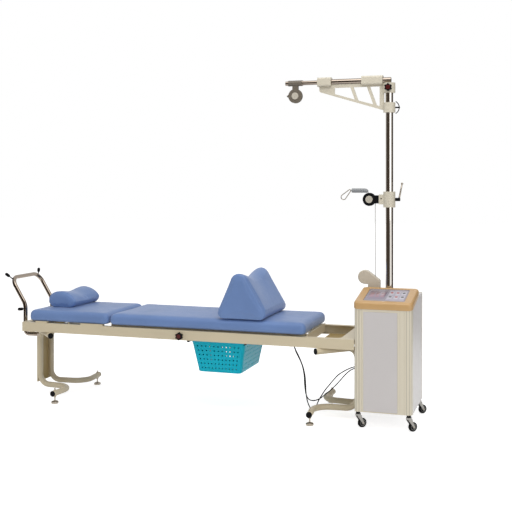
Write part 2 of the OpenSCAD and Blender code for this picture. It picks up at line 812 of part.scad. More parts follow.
module basket() {
    cols = 8;
    rows = 4;
    band = 0.17 * basket_h;
    open_h = basket_h - 2 * band;
    slot_h = open_h / rows * 0.62;
    pitch_x = (basket_len - 2 * basket_taper - 4 * band * 0.6) / cols;
    pitch_y = (basket_w - 2 * basket_taper) / cols * 0.86;
    color("darkturquoise") placed() translate([basket_x, 0, basket_top - basket_h]) difference() {
        union() {
            basket_form(0, 0);
            translate([0, 0, basket_h - lip_t])
                slab(basket_len + 2 * lip_w, basket_w + 0.4 * lip_w, lip_t, basket_r);
        }
        basket_form(basket_t, basket_t);
        for (i = [0:cols - 1]) for (j = [0:rows - 1]) {
            z = band + (j + 0.5) * open_h / rows;
            translate([(i - (cols - 1) / 2) * pitch_x * 1.3, 0, z])
                cube([pitch_x * 0.85, 2 * basket_w, slot_h], center = true);
            translate([0, (i - (cols - 1) / 2) * pitch_y, z])
                cube([2 * basket_len, pitch_y * 0.62, slot_h], center = true);
        }
        for (i = [0:4]) for (j = [0:5])
            translate([(i - 2) * pitch_x * 1.6, (j - 2.5) * pitch_y * 1.2, 0])
                cube([pitch_x, pitch_y * 0.75, 4 * basket_t], center = true);
    }
}

// Black runners under the rails that the basket's lip slides in
module basket_runners() {
    lip_z = basket_top - lip_t;
    shelf_z = lip_z - seat_gap - runner_t;
    out_x = basket_len / 2 + lip_w + seat_gap;
    color("dimgray") placed() translate([basket_x, 0, 0]) for (s = [-1, 1]) mirror([s > 0 ? 1 : 0, 0, 0])
        translate([-out_x - runner_t, -frame_w / 2 + runner_w, 0]) {
            translate([0, 0, shelf_z])
                cube([runner_t, frame_w - 2 * runner_w, rail_bottom - shelf_z]);
            translate([0, 0, shelf_z])
                cube([runner_t + lip_w * 0.8, frame_w - 2 * runner_w, runner_t]);
        }
}

// Star knob with its threaded stem, drawn with the knob's face towards -Y
module star_knob(d, h, stem, stem_len) {
    lobes = 6;
    rotate([90, 0, 0]) {
        difference() {
            union() {
                cylinder(d = d * 0.78, h = h);
                for (i = [0:lobes - 1]) rotate(360 / lobes * i + 30)
                    translate([d * 0.36, 0, 0]) cylinder(d = d * 0.28, h = h);
            }
            translate([0, 0, h - h * 0.12]) cylinder(d = d * 0.5, h = h);
        }
        translate([0, 0, -stem_len]) cylinder(d = stem, h = stem_len + h * 0.2);
    }
}

module rail_knob() {
    color("firebrick") placed() translate([rail_knob_shift, -frame_w / 2 - seat_gap, rail_knob_z])
        star_knob(knob_d, knob_h, knob_stem, seat_gap);
}

// Cabinet shell: rounded corners, grooved front columns, sloped top
module cabinet_side(front, back, low, top_front, top_back, slope_end) {
    polygon([[front, low], [back, low], [back, top_back], [slope_end, top_back],
        [front, top_front]]);
}

module cabinet_solid(inset, below) {
    slope_end = -cab_front + console_depth;
    intersection() {
        translate([cab_x - cut, 0, 0]) rotate([90, 0, 90]) linear_extrude(cab_len + 2 * cut)
            cabinet_side(-cab_front - cut, cab_back + cut, cab_z - below, cab_front_top - inset,
                deck_z - inset, slope_end);
        translate([cab_x + cab_len / 2, (cab_back - cab_front) / 2, cab_z - 2 * cut])
            slab(cab_len - 2 * inset, cab_depth - 2 * inset, deck_z, max(cab_r - inset, cut));
    }
}

module cabinet_body() {
    groove_w = 3;
    groove_d = 2;
    color("wheat") placed() difference() {
        cabinet_solid(0, 0);
        cabinet_solid(cab_t, cut);
        translate([cab_x + panel_left_w, -cab_front - cut, cab_z + cab_t])
            cube([front_panel_w, cab_t + 2 * cut, cab_front_top - cab_z - 3 * cab_t]);
        for (m = [0, 1]) translate([cab_x + (m == 0 ? 0 : cab_len), 0, 0]) mirror([m, 0, 0])
            for (share = [0.5, 0.8])
                translate([(m == 0 ? panel_left_w : panel_right_w) * share, -cab_front - cut, cab_z - cut])
                    cube([groove_w, groove_d + cut, deck_z]);
        translate([mast_x, mast_y, deck_z - 4 * cab_t])
            cylinder(d = mast_d + 2 * run_gap, h = 8 * cab_t);
        translate([rope_x, mast_y, deck_z - 4 * cab_t]) cylinder(d = 4 * rope_d, h = 8 * cab_t);
    }
}

module front_panel() {
    low = cab_z + cab_t + seat_gap;
    color("lightgray") placed()
        translate([cab_x + panel_left_w + seat_gap, -cab_front - panel_proud, low])
            cube([front_panel_w - 2 * seat_gap, cab_t + panel_proud,
                cab_front_top - cab_z - 3 * cab_t - 2 * seat_gap]);
}

module cabinet_base() {
    color("gray") placed() translate([cab_x + cab_len / 2, (cab_back - cab_front) / 2, cab_z])
        slab(cab_len - 2 * cab_t - 2 * seat_gap, cab_depth - 2 * cab_t - 2 * seat_gap, base_t,
            cab_r - cab_t);
}

// Tan console with a sunk tray for the control panel
module console_bezel() {
    slope_end = -cab_front + console_depth;
    front = -cab_front - console_over;
    color("burlywood") placed() difference() {
        intersection() {
            translate([cab_x - console_over + seat_gap, 0, 0]) rotate([90, 0, 90])
                linear_extrude(cab_len + 2 * console_over)
                    polygon([[front, cab_front_top + seat_gap], [-cab_front, cab_front_top + seat_gap],
                        [slope_end, deck_z + seat_gap], [slope_end, deck_z + console_h - console_lip],
                        [slope_end - console_lip, deck_z + console_h],
                        [front + 2 * console_lip, cab_front_top + console_h + console_lip / 3],
                        [front, cab_front_top + console_h - console_lip]]);
            translate([cab_x + cab_len / 2, (front + slope_end) / 2, cab_front_top])
                slab(cab_len + 2 * console_over - 2 * seat_gap, slope_end - front, deck_z, cab_r);
        }
        console_tray(0);
    }
}

// The tray's space on the console's slope, shrunk by gap on each side
module console_tray(gap) {
    rise_turn = atan(console_rise / console_depth);
    translate([cab_x + tray_side + gap, -cab_front, cab_front_top + console_h])
        rotate([rise_turn, 0, 0])
            translate([0, console_depth * 0.1 + gap, -tray_d])
                cube([cab_len - 2 * tray_side - 2 * gap, console_depth * 0.8 - 2 * gap, 10 * tray_d]);
}

module control_panel() {
    rise_turn = atan(console_rise / console_depth);
    w = cab_len - 2 * tray_side - 2 * seat_gap;
    l = console_depth * 0.8 - 2 * seat_gap;
    key_w = 0.11 * w;
    key_l = 0.09 * l;
    color("thistle") placed()
        translate([cab_x + tray_side + seat_gap, -cab_front, cab_front_top + console_h])
            rotate([rise_turn, 0, 0])
                translate([0, console_depth * 0.1 + seat_gap, -tray_d + seat_gap]) {
                    cube([w, l, tray_d * 0.5]);
                    for (i = [0:2]) for (j = [0, 1])
                        translate([w * (0.56 + 0.15 * i), l * (0.32 + 0.33 * j), 0])
                            cube([key_w, key_l, tray_d * 0.75]);
                    translate([w * 0.05, l * 0.2, 0]) cube([w * 0.44, l * 0.6, tray_d * 0.65]);
                }
}

// Casters, numbered front left, front right, rear left, rear right
module caster_place(i) {
    placed() translate([caster_xs[i % 2], caster_ys[floor(i / 2)], 0]) children();
}

// Fork with its swivel race
module caster_fork(i) {
    inside = wheel_w + 2 * wheel_gap;
    race_low = fork_top - race_h;
    top = race_low - fork_t;
    axle_z = wheel_d / 2;
    color("silver") caster_place(i) rotate(trail_turn) difference() {
        union() {
            translate([0, 0, race_low]) cylinder(d = race_d, h = race_h);
            translate([-fork_w / 2, -inside / 2 - fork_t, top])
                cube([1.5 * fork_w, inside + 2 * fork_t, fork_t]);
            for (s = [-1, 1]) translate([0, s * (inside + fork_t) / 2, 0]) rotate([90, 0, 0])
                linear_extrude(fork_t, center = true)
                    polygon([[-fork_w / 2, top + fork_t], [-fork_w / 2, top - fork_w / 4],
                        [trail - 0.42 * fork_w, axle_z], [trail - 0.25 * fork_w, axle_z - 0.42 * fork_w],
                        [trail + 0.25 * fork_w, axle_z - 0.42 * fork_w],
                        [trail + 0.42 * fork_w, axle_z], [fork_w, top - fork_w / 4],
                        [fork_w, top + fork_t]]);
        }
        translate([trail, 0, axle_z]) rotate([90, 0, 0])
            cylinder(d = axle_small + 2 * run_gap, h = 4 * wheel_w, center = true);
    }
}

module caster_wheel(i) {
    color("dimgray") caster_place(i) rotate(trail_turn) translate([trail, 0, wheel_d / 2])
        rotate([90, 0, 0]) {
            rotate_extrude() polygon([[0, -wheel_w / 2], [wheel_d * 0.3, -wheel_w / 2],
                [wheel_d * 0.34, -wheel_w * wheel_side_share],
                [wheel_d * wheel_round_share, -wheel_w * wheel_side_share],
                [wheel_d * 0.5, -wheel_w * 0.25], [wheel_d * 0.5, wheel_w * 0.25],
                [wheel_d * wheel_round_share, wheel_w * wheel_side_share],
                [wheel_d * 0.34, wheel_w * wheel_side_share],
                [wheel_d * 0.3, wheel_w / 2], [0, wheel_w / 2]]);
            cylinder(d = axle_small, h = wheel_w + 2 * (wheel_gap + fork_t + axle_proud), center = true);
        }
}

// Black collars that hold the swivels under the cabinet
module caster_collars() {
    color("dimgray") for (i = [0:3]) caster_place(i)
        translate([0, 0, fork_top + seat_gap]) cylinder(d = collar_d, h = collar_len - seat_gap);
}

// Mast, closed at the top
module mast() {
    color("silver") placed() translate([mast_x, mast_y, deck_z - 3 * cab_t]) {
        linear_extrude(mast_top - deck_z + 3 * cab_t - cap_t) ring(mast_d, mast_d - 2 * tube_t);
        translate([0, 0, mast_top - deck_z + 3 * cab_t - cap_t]) cylinder(d = mast_d, h = cap_t);
    }
}

// Clamp that slides on the mast, with the block that carries the pulley
module mid_clamp() {
    color("wheat") placed() translate([mast_x, mast_y, clamp_z]) difference() {
        union() {
            cylinder(d = sleeve_d, h = sleeve_h, center = true);
            translate([-block_out, -block_w / 2, -block_h / 2]) cube([block_out, block_w, block_h]);
        }
        cylinder(d = mast_d + 2 * run_gap, h = 2 * sleeve_h, center = true);
        rotate([0, 90, 0]) cylinder(d = spindle_d + 2 * run_gap, h = sleeve_d);
    }
}

// Lever whose spindle presses on the mast
module clamp_lever() {
    hub_x = sleeve_d / 2 + seat_gap;
    hub_d = 22;
    hub_len = 32;
    rod_d = 11;
    ball_d = 15;
    tip = [85, 0, 105];
    color("silver") placed() translate([mast_x, mast_y, clamp_z]) {
        translate([mast_d / 2 + seat_gap, 0, 0]) rotate([0, 90, 0])
            cylinder(d = spindle_d, h = hub_x - mast_d / 2 + hub_len / 2);
        translate([hub_x, 0, 0]) rotate([0, 90, 0]) cylinder(d = hub_d, h = hub_len);
        bar([hub_x + 0.75 * hub_len, 0, 0], tip, rod_d);
        translate(tip) sphere(d = ball_d);
    }
}

// Black fork: neck, two round cheeks
module cheeks(r, neck_from, neck_to, neck_h) {
    for (s = [-1, 1]) translate([0, s * (cheek_gap + cheek_t) / 2, 0]) rotate([90, 0, 0])
        difference() {
            union() {
                cylinder(r = r, h = cheek_t, center = true);
                translate([0, -neck_h / 2, -cheek_t / 2]) cube([neck_to, neck_h, cheek_t]);
            }
            cylinder(d = pin_d + 2 * run_gap, h = 2 * cheek_t, center = true);
        }
    translate([neck_from, -cheek_gap / 2 - cheek_t, -neck_h / 2])
        cube([neck_to - neck_from, cheek_gap + 2 * cheek_t, neck_h]);
}

module pulley_fork() {
    color("dimgray") placed() translate([lower_x, mast_y, clamp_z])
        cheeks(lower_r, groove_r + 2 * rope_d, lower_reach - block_out, 0.62 * 2 * lower_r);
}

// Pulley wheel, pin and the two hub caps outside the cheeks
module pulley(r) {
    cap_at = cheek_gap / 2 + cheek_t + seat_gap;
    rotate([90, 0, 0]) {
        difference() {
            cylinder(r = r, h = pulley_w, center = true);
            rotate_extrude() translate([r, 0]) circle(d = pulley_w * 0.6);
        }
        cylinder(d = pin_d, h = 2 * cap_at + hub_t, center = true);
        for (s = [-1, 1]) translate([0, 0, s * (cap_at + hub_t / 2)])
            cylinder(r = hub_r, h = hub_t, center = true);
    }
}

module lower_pulley() {
    color("wheat") placed() translate([lower_x, mast_y, clamp_z])
        pulley(groove_r - rope_d / 2 - seat_gap + pulley_w * 0.3);
}

// Rope between the guide on the cabinet and the lower pulley
module rope() {
    low = guide_wheel_z;
    color("white") placed() bar([rope_x, mast_y, low], [rope_x, mast_y, clamp_z], rope_d);
}

// Rope over the pulley and the grey sleeve that its end runs in
module rope_end() {
    turn_x = lower_x - 0.2 * sleeve_len;
    color("gray") placed() {
        translate([lower_x, mast_y, clamp_z]) rotate([90, 0, 0]) {
            rotate_extrude(angle = 90) translate([groove_r, 0]) circle(d = rope_d);
        }
        bent_tube([[lower_x, mast_y, clamp_z + groove_r], [turn_x, mast_y, clamp_z + groove_r],
            [turn_x, mast_y, sleeve_z]], [0, 2 * rope_d, 0], rope_d);
        bar([lower_x - rope_d / 2, mast_y, sleeve_z],
            [lower_x - sleeve_len, mast_y, sleeve_z], sleeve_bar_d);
        translate(eye_at + [0, 0, sleeve_z]) rotate_extrude() translate([eye_r, 0])
            circle(d = eye_wire);
    }
}

// Snap hook: a pear-shaped wire loop with a gate on its lower side
module hook_frame() {
    translate(hook_at) rotate([0, -hook_turn, 0]) children();
}

function hook_side(s) = let (a = asin((hook_big_r - hook_small_r) / hook_len))
    [[-hook_small_r * sin(a), 0, s * hook_small_r * cos(a)],
        [hook_len - hook_big_r * sin(a), 0, s * hook_big_r * cos(a)]];

module hook() {
    a = asin((hook_big_r - hook_small_r) / hook_len);
    top = hook_side(1);
    low = hook_side(-1);
    color("silver") placed() hook_frame() {
        bar(top[0], top[1], hook_wire);
        translate([hook_len, 0, 0]) rotate([90, 0, 0]) rotate(-91 - a)
            rotate_extrude(angle = 182 + 2 * a) translate([hook_big_r, 0])
                circle(d = hook_wire - 2 * step);
        rotate([90, 0, 0]) rotate(88 + a)
            rotate_extrude(angle = 184 - 2 * a) translate([hook_small_r, 0])
                circle(d = hook_wire - 2 * step);
        bar(low[1], low[1] + (low[0] - low[1]) * 0.25, hook_wire);
    }
}

// The gate's pivot, just clear of the end of the hook's short side
function gate_pivot() = let (low = hook_side(-1), along = unit(low[1] - low[0]))
    low[1] + (low[0] - low[1]) * 0.25 - along * (hook_wire / 2 + seat_gap);

module hook_gate() {
    low = hook_side(-1);
    along = unit(low[1] - low[0]);
    pivot = gate_pivot();
    color("gray") placed() hook_frame() {
        bar(low[0] + along * 2 * seat_gap, pivot, hook_wire);
        translate(pivot) rotate([90, 0, 0]) cylinder(d = hook_wire, h = 1.2 * hook_wire, center = true);
    }
}

// Overhead arm: a cut-out truss plate with collars on the mast and on the tube
module truss_plate() {
    right = mast_x - sleeve_d / 2 + truss_lap;
    left = tube_start_x + truss_in;
    low = lower_collar_z - truss_drop;
    mid = truss_top - chord_h;
    low_left = truss_top - 2.6 * chord_h;
    difference() {
        polygon([[left, truss_top + truss_lap], [right, truss_top + truss_lap], [right, low],
            [left + 0.2 * chord_h, low_left + 0.4 * chord_h], [left, low_left + chord_h]]);
        for (w = truss_windows(left, right, low, mid, low_left)) polygon(w);
    }
}

// The three windows, between the chords, two slanted struts and the post
function truss_windows(left, right, low, mid, low_left) =
    let (post = right - post_w, slope = (low - low_left) / (right - left),
        chord = chord_h,
        x0 = left + 5.4 * chord, x1 = left + 0.57 * (right - left), x2 = post,
        strut = 0.75 * chord, slant = 0.3)
    [for (w = [[left + 0.24 * (right - left), left + 0.50 * (right - left)],
            [left + 0.55 * (right - left), left + 0.76 * (right - left)],
            [left + 0.81 * (right - left), post]])
        let (a = w[0], b = w[1],
            da = slant * (mid - (low_left + slope * (a - left) + chord)),
            db = b == post ? 0 : slant * (mid - (low_left + slope * (b - left) + chord)),
            first = w[0] < left + 0.3 * (right - left))
        first ? [[a, mid], [b - db * 0.3, mid], [b + db, low_left + slope * (b + db - left) + chord],
                [a, low_left + slope * (a - left) + 1.1 * chord]]
            : [[a - da * 0.3, mid], [b - db * 0.3, mid],
                [b + db, low_left + slope * (b + db - left) + chord],
                [a + da, low_left + slope * (a + da - left) + chord]]];

module truss_arm() {
    tube_fit = arm_tube_d + 2 * run_gap;
    mast_fit = mast_d + 2 * run_gap;
    color("wheat") placed() translate([0, mast_y, 0]) difference() {
        union() {
            rotate([90, 0, 0]) linear_extrude(truss_t, center = true) truss_plate();
            for (c = [left_collar, right_collar])
                translate([c[0], 0, arm_rod_z]) rotate([0, 90, 0]) linear_extrude(c[1] - c[0])
                    rounded(arm_tube_d + 2 * collar_wall, arm_tube_d + 2 * collar_wall,
                        collar_wall);
            translate([mast_x, 0, upper_collar_z]) cylinder(d = sleeve_d, h = collar_h, center = true);
            translate([mast_x, 0, lower_collar_z]) cylinder(d = sleeve_d, h = collar_h, center = true);
        }
        translate([tube_start_x - cut, 0, arm_rod_z]) rotate([0, 90, 0])
            cylinder(d = tube_fit, h = arm_tube_len + 2 * cut);
        translate([mast_x, 0, lower_collar_z - collar_h])
            cylinder(d = mast_fit, h = mast_top + seat_gap - lower_collar_z + collar_h);
        translate([mast_x, 0, lower_collar_z]) rotate([0, 90, 0])
            cylinder(d = spindle_d + 2 * run_gap, h = sleeve_d);
    }
}

module arm_tube() {
    color("silver") placed() bar([tube_start_x, mast_y, arm_rod_z], [tube_end_x, mast_y, arm_rod_z],
        arm_tube_d, arm_rod_d + 2 * run_gap);
}

// Sliding rod with its end cap and the two stops beside the pulley
module arm_rod() {
    inside = 0.6 * arm_tube_len;
    stop_t = 5;
    stop_out = 4;
    color("silver") placed() translate([0, mast_y, arm_rod_z]) rotate([0, 90, 0]) {
        translate([0, 0, rod_end_x]) cylinder(d = arm_rod_d, h = arm_rod_out + inside);
        for (s = [-1, 1]) translate([0, 0, upper_x + s * (hanger_sleeve_len / 2 + seat_gap + stop_t / 2)])
            cylinder(d = arm_rod_d + 2 * stop_out, h = stop_t, center = true);
    }
}

// Overhead pulley's dark housing, hung on the sliding rod
module upper_pulley_housing() {
    bridge_h = 18;
    to_rod = arm_rod_z - upper_z;
    color("dimgray") placed() translate([upper_x, mast_y, upper_z]) difference() {
        union() {
            for (s = [-1, 1]) translate([0, s * (cheek_gap + cheek_t) / 2, 0]) rotate([90, 0, 0]) {
                cylinder(r = upper_r, h = cheek_t, center = true);
                translate([-hanger_w / 2, 0, -cheek_t / 2]) cube([hanger_w, to_rod, cheek_t]);
            }
            translate([-hanger_sleeve_len / 2, 0, to_rod]) rotate([0, 90, 0])
                cylinder(d = arm_rod_d + 2 * hanger_wall, h = hanger_sleeve_len);
            translate([-upper_r - cheek_t, -cheek_gap / 2 - cheek_t, -bridge_h / 2])
                cube([2 * cheek_t, cheek_gap + 2 * cheek_t, bridge_h]);
            translate([-upper_r - 3 * cheek_t, 0, 0]) rotate([0, 90, 0])
                cylinder(d = spindle_d, h = 3 * cheek_t);
        }
        rotate([90, 0, 0]) cylinder(d = pin_d + 2 * run_gap, h = 4 * cheek_gap, center = true);
        translate([-hanger_sleeve_len, 0, to_rod]) rotate([0, 90, 0])
            cylinder(d = arm_rod_d + 2 * run_gap, h = 2 * hanger_sleeve_len);
    }
}

module upper_pulley() {
    color("wheat") placed() translate([upper_x, mast_y, upper_z]) pulley(upper_r - 1.5 * cheek_t);
}

module arm_knob() {
    color("firebrick") placed()
        translate([mast_x, mast_y - sleeve_d / 2 - seat_gap, upper_collar_z])
            star_knob(knob_d, knob_h, knob_stem, seat_gap);
}

// Bow-shaped handle on the lower collar
module bow_handle() {
    bow_r = 45;
    bow_half = 62;
    bow_wire = 6;
    bead_d = 12;
    hub_x = 66;
    color("dimgray") placed() translate([mast_x, mast_y, lower_collar_z]) {
        translate([mast_d / 2 + seat_gap, 0, 0]) rotate([0, 90, 0])
            cylinder(d = spindle_d, h = hub_x - mast_d / 2);
        translate([hub_x, 0, 0]) sphere(d = bead_d);
        translate([hub_x - bow_r, 0, 0]) rotate([90, 0, 0]) rotate(-bow_half)
            rotate_extrude(angle = 2 * bow_half) translate([bow_r, 0]) circle(d = bow_wire);
    }
}

// Ivory housing on the cabinet that guides the rope out of it
module guide_form(inset, w) {
    hull() {
        translate([rope_x - 1.48 * guide_r, 0, guide_z]) rotate([90, 0, 0])
            cylinder(r = guide_r - inset, h = w, center = true, $fn = 32);
        translate([rope_x + 0.26 * guide_r, 0, guide_z - 0.65 * guide_r]) rotate([90, 0, 0])
            cylinder(r = guide_low_r - inset, h = w, center = true, $fn = 32);
    }
}

module rope_guide() {
    color("ivory") placed() translate([0, mast_y, 0]) difference() {
        union() {
            guide_form(0, guide_w);
            translate([rope_x - guide_r, -guide_w / 2, deck_z])
                cube([1.74 * guide_r, guide_w, guide_rise - 0.65 * guide_r]);
        }
        guide_form(guide_t, guide_w - 2 * guide_t);
        translate([rope_x, 0, deck_z - cut]) cylinder(d = 3 * rope_d, h = 2 * guide_r + guide_rise);
    }
}

module guide_wheel() {
    color("gray") placed() translate([rope_x - guide_wheel_r - rope_d / 2, mast_y, guide_wheel_z])
        rotate([90, 0, 0]) {
            cylinder(r = guide_wheel_r - seat_gap, h = pulley_w, center = true);
            cylinder(d = pin_d, h = guide_w - 2 * guide_t - 2 * seat_gap, center = true);
        }
}

module signal_cable_1() {
    color("dimgray") placed() cord(cable_1_route, cable_d);
}

module signal_cable_2() {
    color("dimgray") placed() cord(cable_2_route, cable_d);
}

module cable_gland() {
    color("dimgray") placed()
        translate([cable_1_route[0].x - gland_len, -rail_in_y + seat_gap, rail_bottom - gland_len / 2])
            cube([gland_len, 1.6 * gland_len, 1.2 * gland_len]);
}

near_rail();
far_rail();
head_end_beam();
foot_end_plate();
cross_members();
head_leg();
foot_leg();
tube_end_caps();
levelling_foot(-1, -1);  // levelling_foot_1
levelling_foot(1, -1);  // levelling_foot_2
levelling_foot(-1, 1);  // levelling_foot_3
levelling_foot(1, 1);  // levelling_foot_4
strap_bar();
strap_pegs();
head_cushion();
head_supports();
main_cushion();
carriage_frame();
carriage_axle(0);  // carriage_axle_1
carriage_axle(1);  // carriage_axle_2
neck_pillow();
knee_bolster();
basket();
basket_runners();
rail_knob();
cabinet_body();
front_panel();
cabinet_base();
console_bezel();
control_panel();
caster_fork(0);  // caster_fork_1
caster_fork(1);  // caster_fork_2
caster_fork(2);  // caster_fork_3
caster_fork(3);  // caster_fork_4
caster_wheel(0);  // caster_wheel_1
caster_wheel(1);  // caster_wheel_2
caster_wheel(2);  // caster_wheel_3
caster_wheel(3);  // caster_wheel_4
caster_collars();
mast();
mid_clamp();
clamp_lever();
pulley_fork();
lower_pulley();
rope();
rope_end();
hook();
hook_gate();
truss_arm();
arm_tube();
arm_rod();
upper_pulley_housing();
upper_pulley();
arm_knob();
bow_handle();
rope_guide();
guide_wheel();
signal_cable_1();
signal_cable_2();
cable_gland();
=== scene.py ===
"""Traction table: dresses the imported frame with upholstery, plastics, metals and cables."""

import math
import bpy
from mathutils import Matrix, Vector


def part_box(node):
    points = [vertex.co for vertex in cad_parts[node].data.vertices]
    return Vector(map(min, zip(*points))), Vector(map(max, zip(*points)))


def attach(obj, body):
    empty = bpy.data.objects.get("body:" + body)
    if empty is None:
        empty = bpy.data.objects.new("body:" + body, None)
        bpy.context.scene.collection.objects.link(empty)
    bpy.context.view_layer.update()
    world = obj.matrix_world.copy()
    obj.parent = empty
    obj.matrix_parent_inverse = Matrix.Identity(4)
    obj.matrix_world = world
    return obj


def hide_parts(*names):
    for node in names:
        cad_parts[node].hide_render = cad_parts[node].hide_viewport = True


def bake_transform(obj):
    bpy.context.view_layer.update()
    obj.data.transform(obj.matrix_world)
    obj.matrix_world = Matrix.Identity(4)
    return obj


bl_info = {
    "name": "Traction Table",
    "version": (1, 0, 0),
    "blender": (4, 5, 0),
    "location": "View3D > Sidebar > Traction Table",
    "description": "Builds the visible pieces of a traction table around its frame",
    "category": "Object",
}

import bmesh
import bpy
from bpy.props import FloatProperty, FloatVectorProperty, IntProperty, PointerProperty
from mathutils import Vector
from mathutils.bvhtree import BVHTree

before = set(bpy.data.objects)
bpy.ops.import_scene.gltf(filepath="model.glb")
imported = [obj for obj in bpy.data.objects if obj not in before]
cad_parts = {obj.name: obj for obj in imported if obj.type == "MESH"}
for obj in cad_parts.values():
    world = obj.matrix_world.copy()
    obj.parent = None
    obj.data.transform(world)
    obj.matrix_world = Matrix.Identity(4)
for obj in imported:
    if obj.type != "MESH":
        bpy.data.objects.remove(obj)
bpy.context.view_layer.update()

# The drawing's own origin, between the two legs, measured in the row frame
DRAWING_ORIGIN_X = (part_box("levelling_foot_1")[0].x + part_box("levelling_foot_2")[1].x) / 2
MM = 0.001


def at(x, y, z):
    """A point given in the drawing's millimetres, as metres in the row frame."""
    return Vector((x * MM + DRAWING_ORIGIN_X, y * MM, z * MM))


# Settings


def colour(name, value, text):
    return FloatVectorProperty(name=name, description=text, subtype="COLOR", size=3,
                               min=0.0, max=1.0, default=value)


def length(name, value, text):
    return FloatProperty(name=name, description=text, subtype="DISTANCE", unit="LENGTH",
                         min=0.0001, max=1.0, default=value)


def factor(name, value, text, low=0.0, high=1.0):
    return FloatProperty(name=name, description=text, subtype="FACTOR",
                         min=low, max=high, default=value)


def power(name, value, text):
    return FloatProperty(name=name, description=text, min=0.0, default=value)


def number_of(name, value, text, low, high):
    return IntProperty(name=name, description=text, min=low, max=high, default=value)


class UpholsterySettings(bpy.types.PropertyGroup):
    """Sizes and colour of the four padded pieces."""
    vinyl: colour("Vinyl", (0.139, 0.232, 0.470), "Colour of the upholstery vinyl")
    main_voxel: length("Main voxel", 0.010, "Mesh size of the main cushion before it is filled")
    small_voxel: length("Small voxel", 0.007, "Mesh size of the head cushion and the bolster "
                        "before they are filled")
    outer_corner: length("Outer corner", 0.034, "Radius of the cushions' outer corners")
    inner_corner: length("Inner corner", 0.030, "Radius of the corners where the cushions meet")
    edge: length("Edge", 0.034, "How far a cushion's upper edge is rounded over")
    crown: length("Crown", 0.006, "How much higher a cushion is in its middle")
    pull: length("Pull", 0.005, "How far a cushion's sides draw in between its corners")
    swell: length("Swell", 0.004, "Most that the filling may push a pad's cover out")
    seam_radius: length("Seam radius", 0.0016, "Radius of the sewn edge round a pad's end panel")
    fill_frames: number_of("Fill frames", 16, "Steps of the filling simulation", 4, 40)


class MetalSettings(bpy.types.PropertyGroup):
    """Colours of the painted and plated metal."""
    frame_paint: colour("Frame paint", (0.630, 0.545, 0.385), "Colour of the frame's powder coat")
    # Painted shade: a darker brown that stands in for the shade on the legs' recessed sheets and on
    # the cross members
    painted_shade_brown: colour("Inner paint", (0.400, 0.290, 0.125), "Colour of the shaded sheets and "
                        "cross members")
    arm_paint: colour("Arm paint", (0.620, 0.570, 0.460), "Colour of the arm's and clamp's paint")
    cabinet_paint: colour("Cabinet paint", (0.700, 0.640, 0.510), "Colour of the cabinet's corners")
    front_paint: colour("Front paint", (0.600, 0.570, 0.560), "Colour of the cabinet's front panel")
    housing_paint: colour("Housing paint", (0.150, 0.128, 0.100), "Colour of the upper pulley's "
                          "housing")
    chrome: colour("Chrome", (0.700, 0.665, 0.615), "Colour of the mast's bright plating")
    # Painted reflection: the bar's and the arm's chrome is darkened to stand in for the dark
    # surroundings it mirrors
    painted_reflection_chrome: colour("Bar chrome", (0.300, 0.250, 0.205), "Colour of the bar's and the arm's "
                       "dark plating")
    steel: colour("Steel", (0.400, 0.355, 0.295), "Colour of the zinc-plated small parts")


class PlasticSettings(bpy.types.PropertyGroup):
    """Colours of the moulded pieces."""
    basket: colour("Basket", (0.000, 0.450, 0.590), "Colour of the basket")
    console: colour("Console", (0.545, 0.335, 0.142), "Colour of the console's frame")
    keypad: colour("Keypad", (0.300, 0.275, 0.320), "Colour of the sealed keypad")
    ivory: colour("Ivory", (0.570, 0.505, 0.405), "Colour of the rope guide's housing")
    black: colour("Black", (0.006, 0.006, 0.007), "Colour of the black moulded parts")
    knob_disc: colour("Knob disc", (0.075, 0.004, 0.003), "Colour of the star knobs' discs")
    grey: colour("Grey", (0.260, 0.270, 0.280), "Colour of the rope end's sleeve")


class ConsoleSettings(bpy.types.PropertyGroup):
    """Edges of the console's frame."""
    roll: length("Roll", 0.018, "Radius of the frame's rolled outer edge")
    corner: length("Corner", 0.030, "Radius of the frame's corners seen from above")


class BasketSettings(bpy.types.PropertyGroup):
    """Ribs and bands of the lattice basket."""
    columns: number_of("Columns", 11, "Openings across the basket's front", 4, 30)
    rows: number_of("Rows", 6, "Openings from the foot band to the rim", 2, 16)
    opening: factor("Opening", 0.31, "Share of a cell's width that is open", 0.1, 0.95)
    wall: length("Wall", 0.0026, "Thickness of the wall")
    taper: length("Taper", 0.040, "How far each end draws in towards the floor")
    side_taper: factor("Side taper", 0.85, "Share of the taper that the long sides draw in",
                       0.0, 1.5)
    lip: length("Lip", 0.010, "How far the rim stands out")
    rim_band: factor("Rim band", 0.10, "Share of the height under the rim that is solid",
                     0.02, 0.5)
    foot_band: factor("Foot band", 0.07, "Share of the height above the floor that is solid",
                      0.02, 0.5)


class CableSettings(bpy.types.PropertyGroup):
    """The two signal cables."""
    diameter: length("Diameter", 0.007, "Diameter of each cable's jacket")
    sides: number_of("Sides", 12, "Sides of a cable's round section", 6, 32)


class GuideSettings(bpy.types.PropertyGroup):
    """The moulded cover at the cabinet's top that the rope comes out of."""
    big_radius: length("Big radius", 0.046, "Radius of the cover's round end")
    small_radius: length("Small radius", 0.022, "Radius of the cover's low shoulder")
    roll: length("Roll", 0.006, "Radius of the cover's long edges")


class StageSettings(bpy.types.PropertyGroup):
    """Light and floor of the product shot."""
    key_power: power("Key power", 78.0, "Power of the large overhead lamp")
    fill_power: power("Fill power", 37.0, "Power of the lamp beside the camera")
    sky: power("Sky", 0.52, "Strength of the even light all round")
    flag_tint: colour("Flag tint", (0.070, 0.054, 0.042), "Colour of the dark screens that bright "
                      "metal mirrors")
    paper_glow: power("Paper glow", 0.68, "Light that the camera sees the floor give off, so that "
                      "it shows white")


# Node helpers


def add_node(tree, kind, inputs=(), **settings):
    """Adds a node with its settings, and gives each named input a value or a link."""
    node = tree.nodes.new(kind)
    for key, value in settings.items():
        setattr(node, key, value)
    for key, value in dict(inputs).items():
        if isinstance(value, bpy.types.NodeSocket):
            tree.links.new(value, node.inputs[key])
        else:
            node.inputs[key].default_value = value
    return node


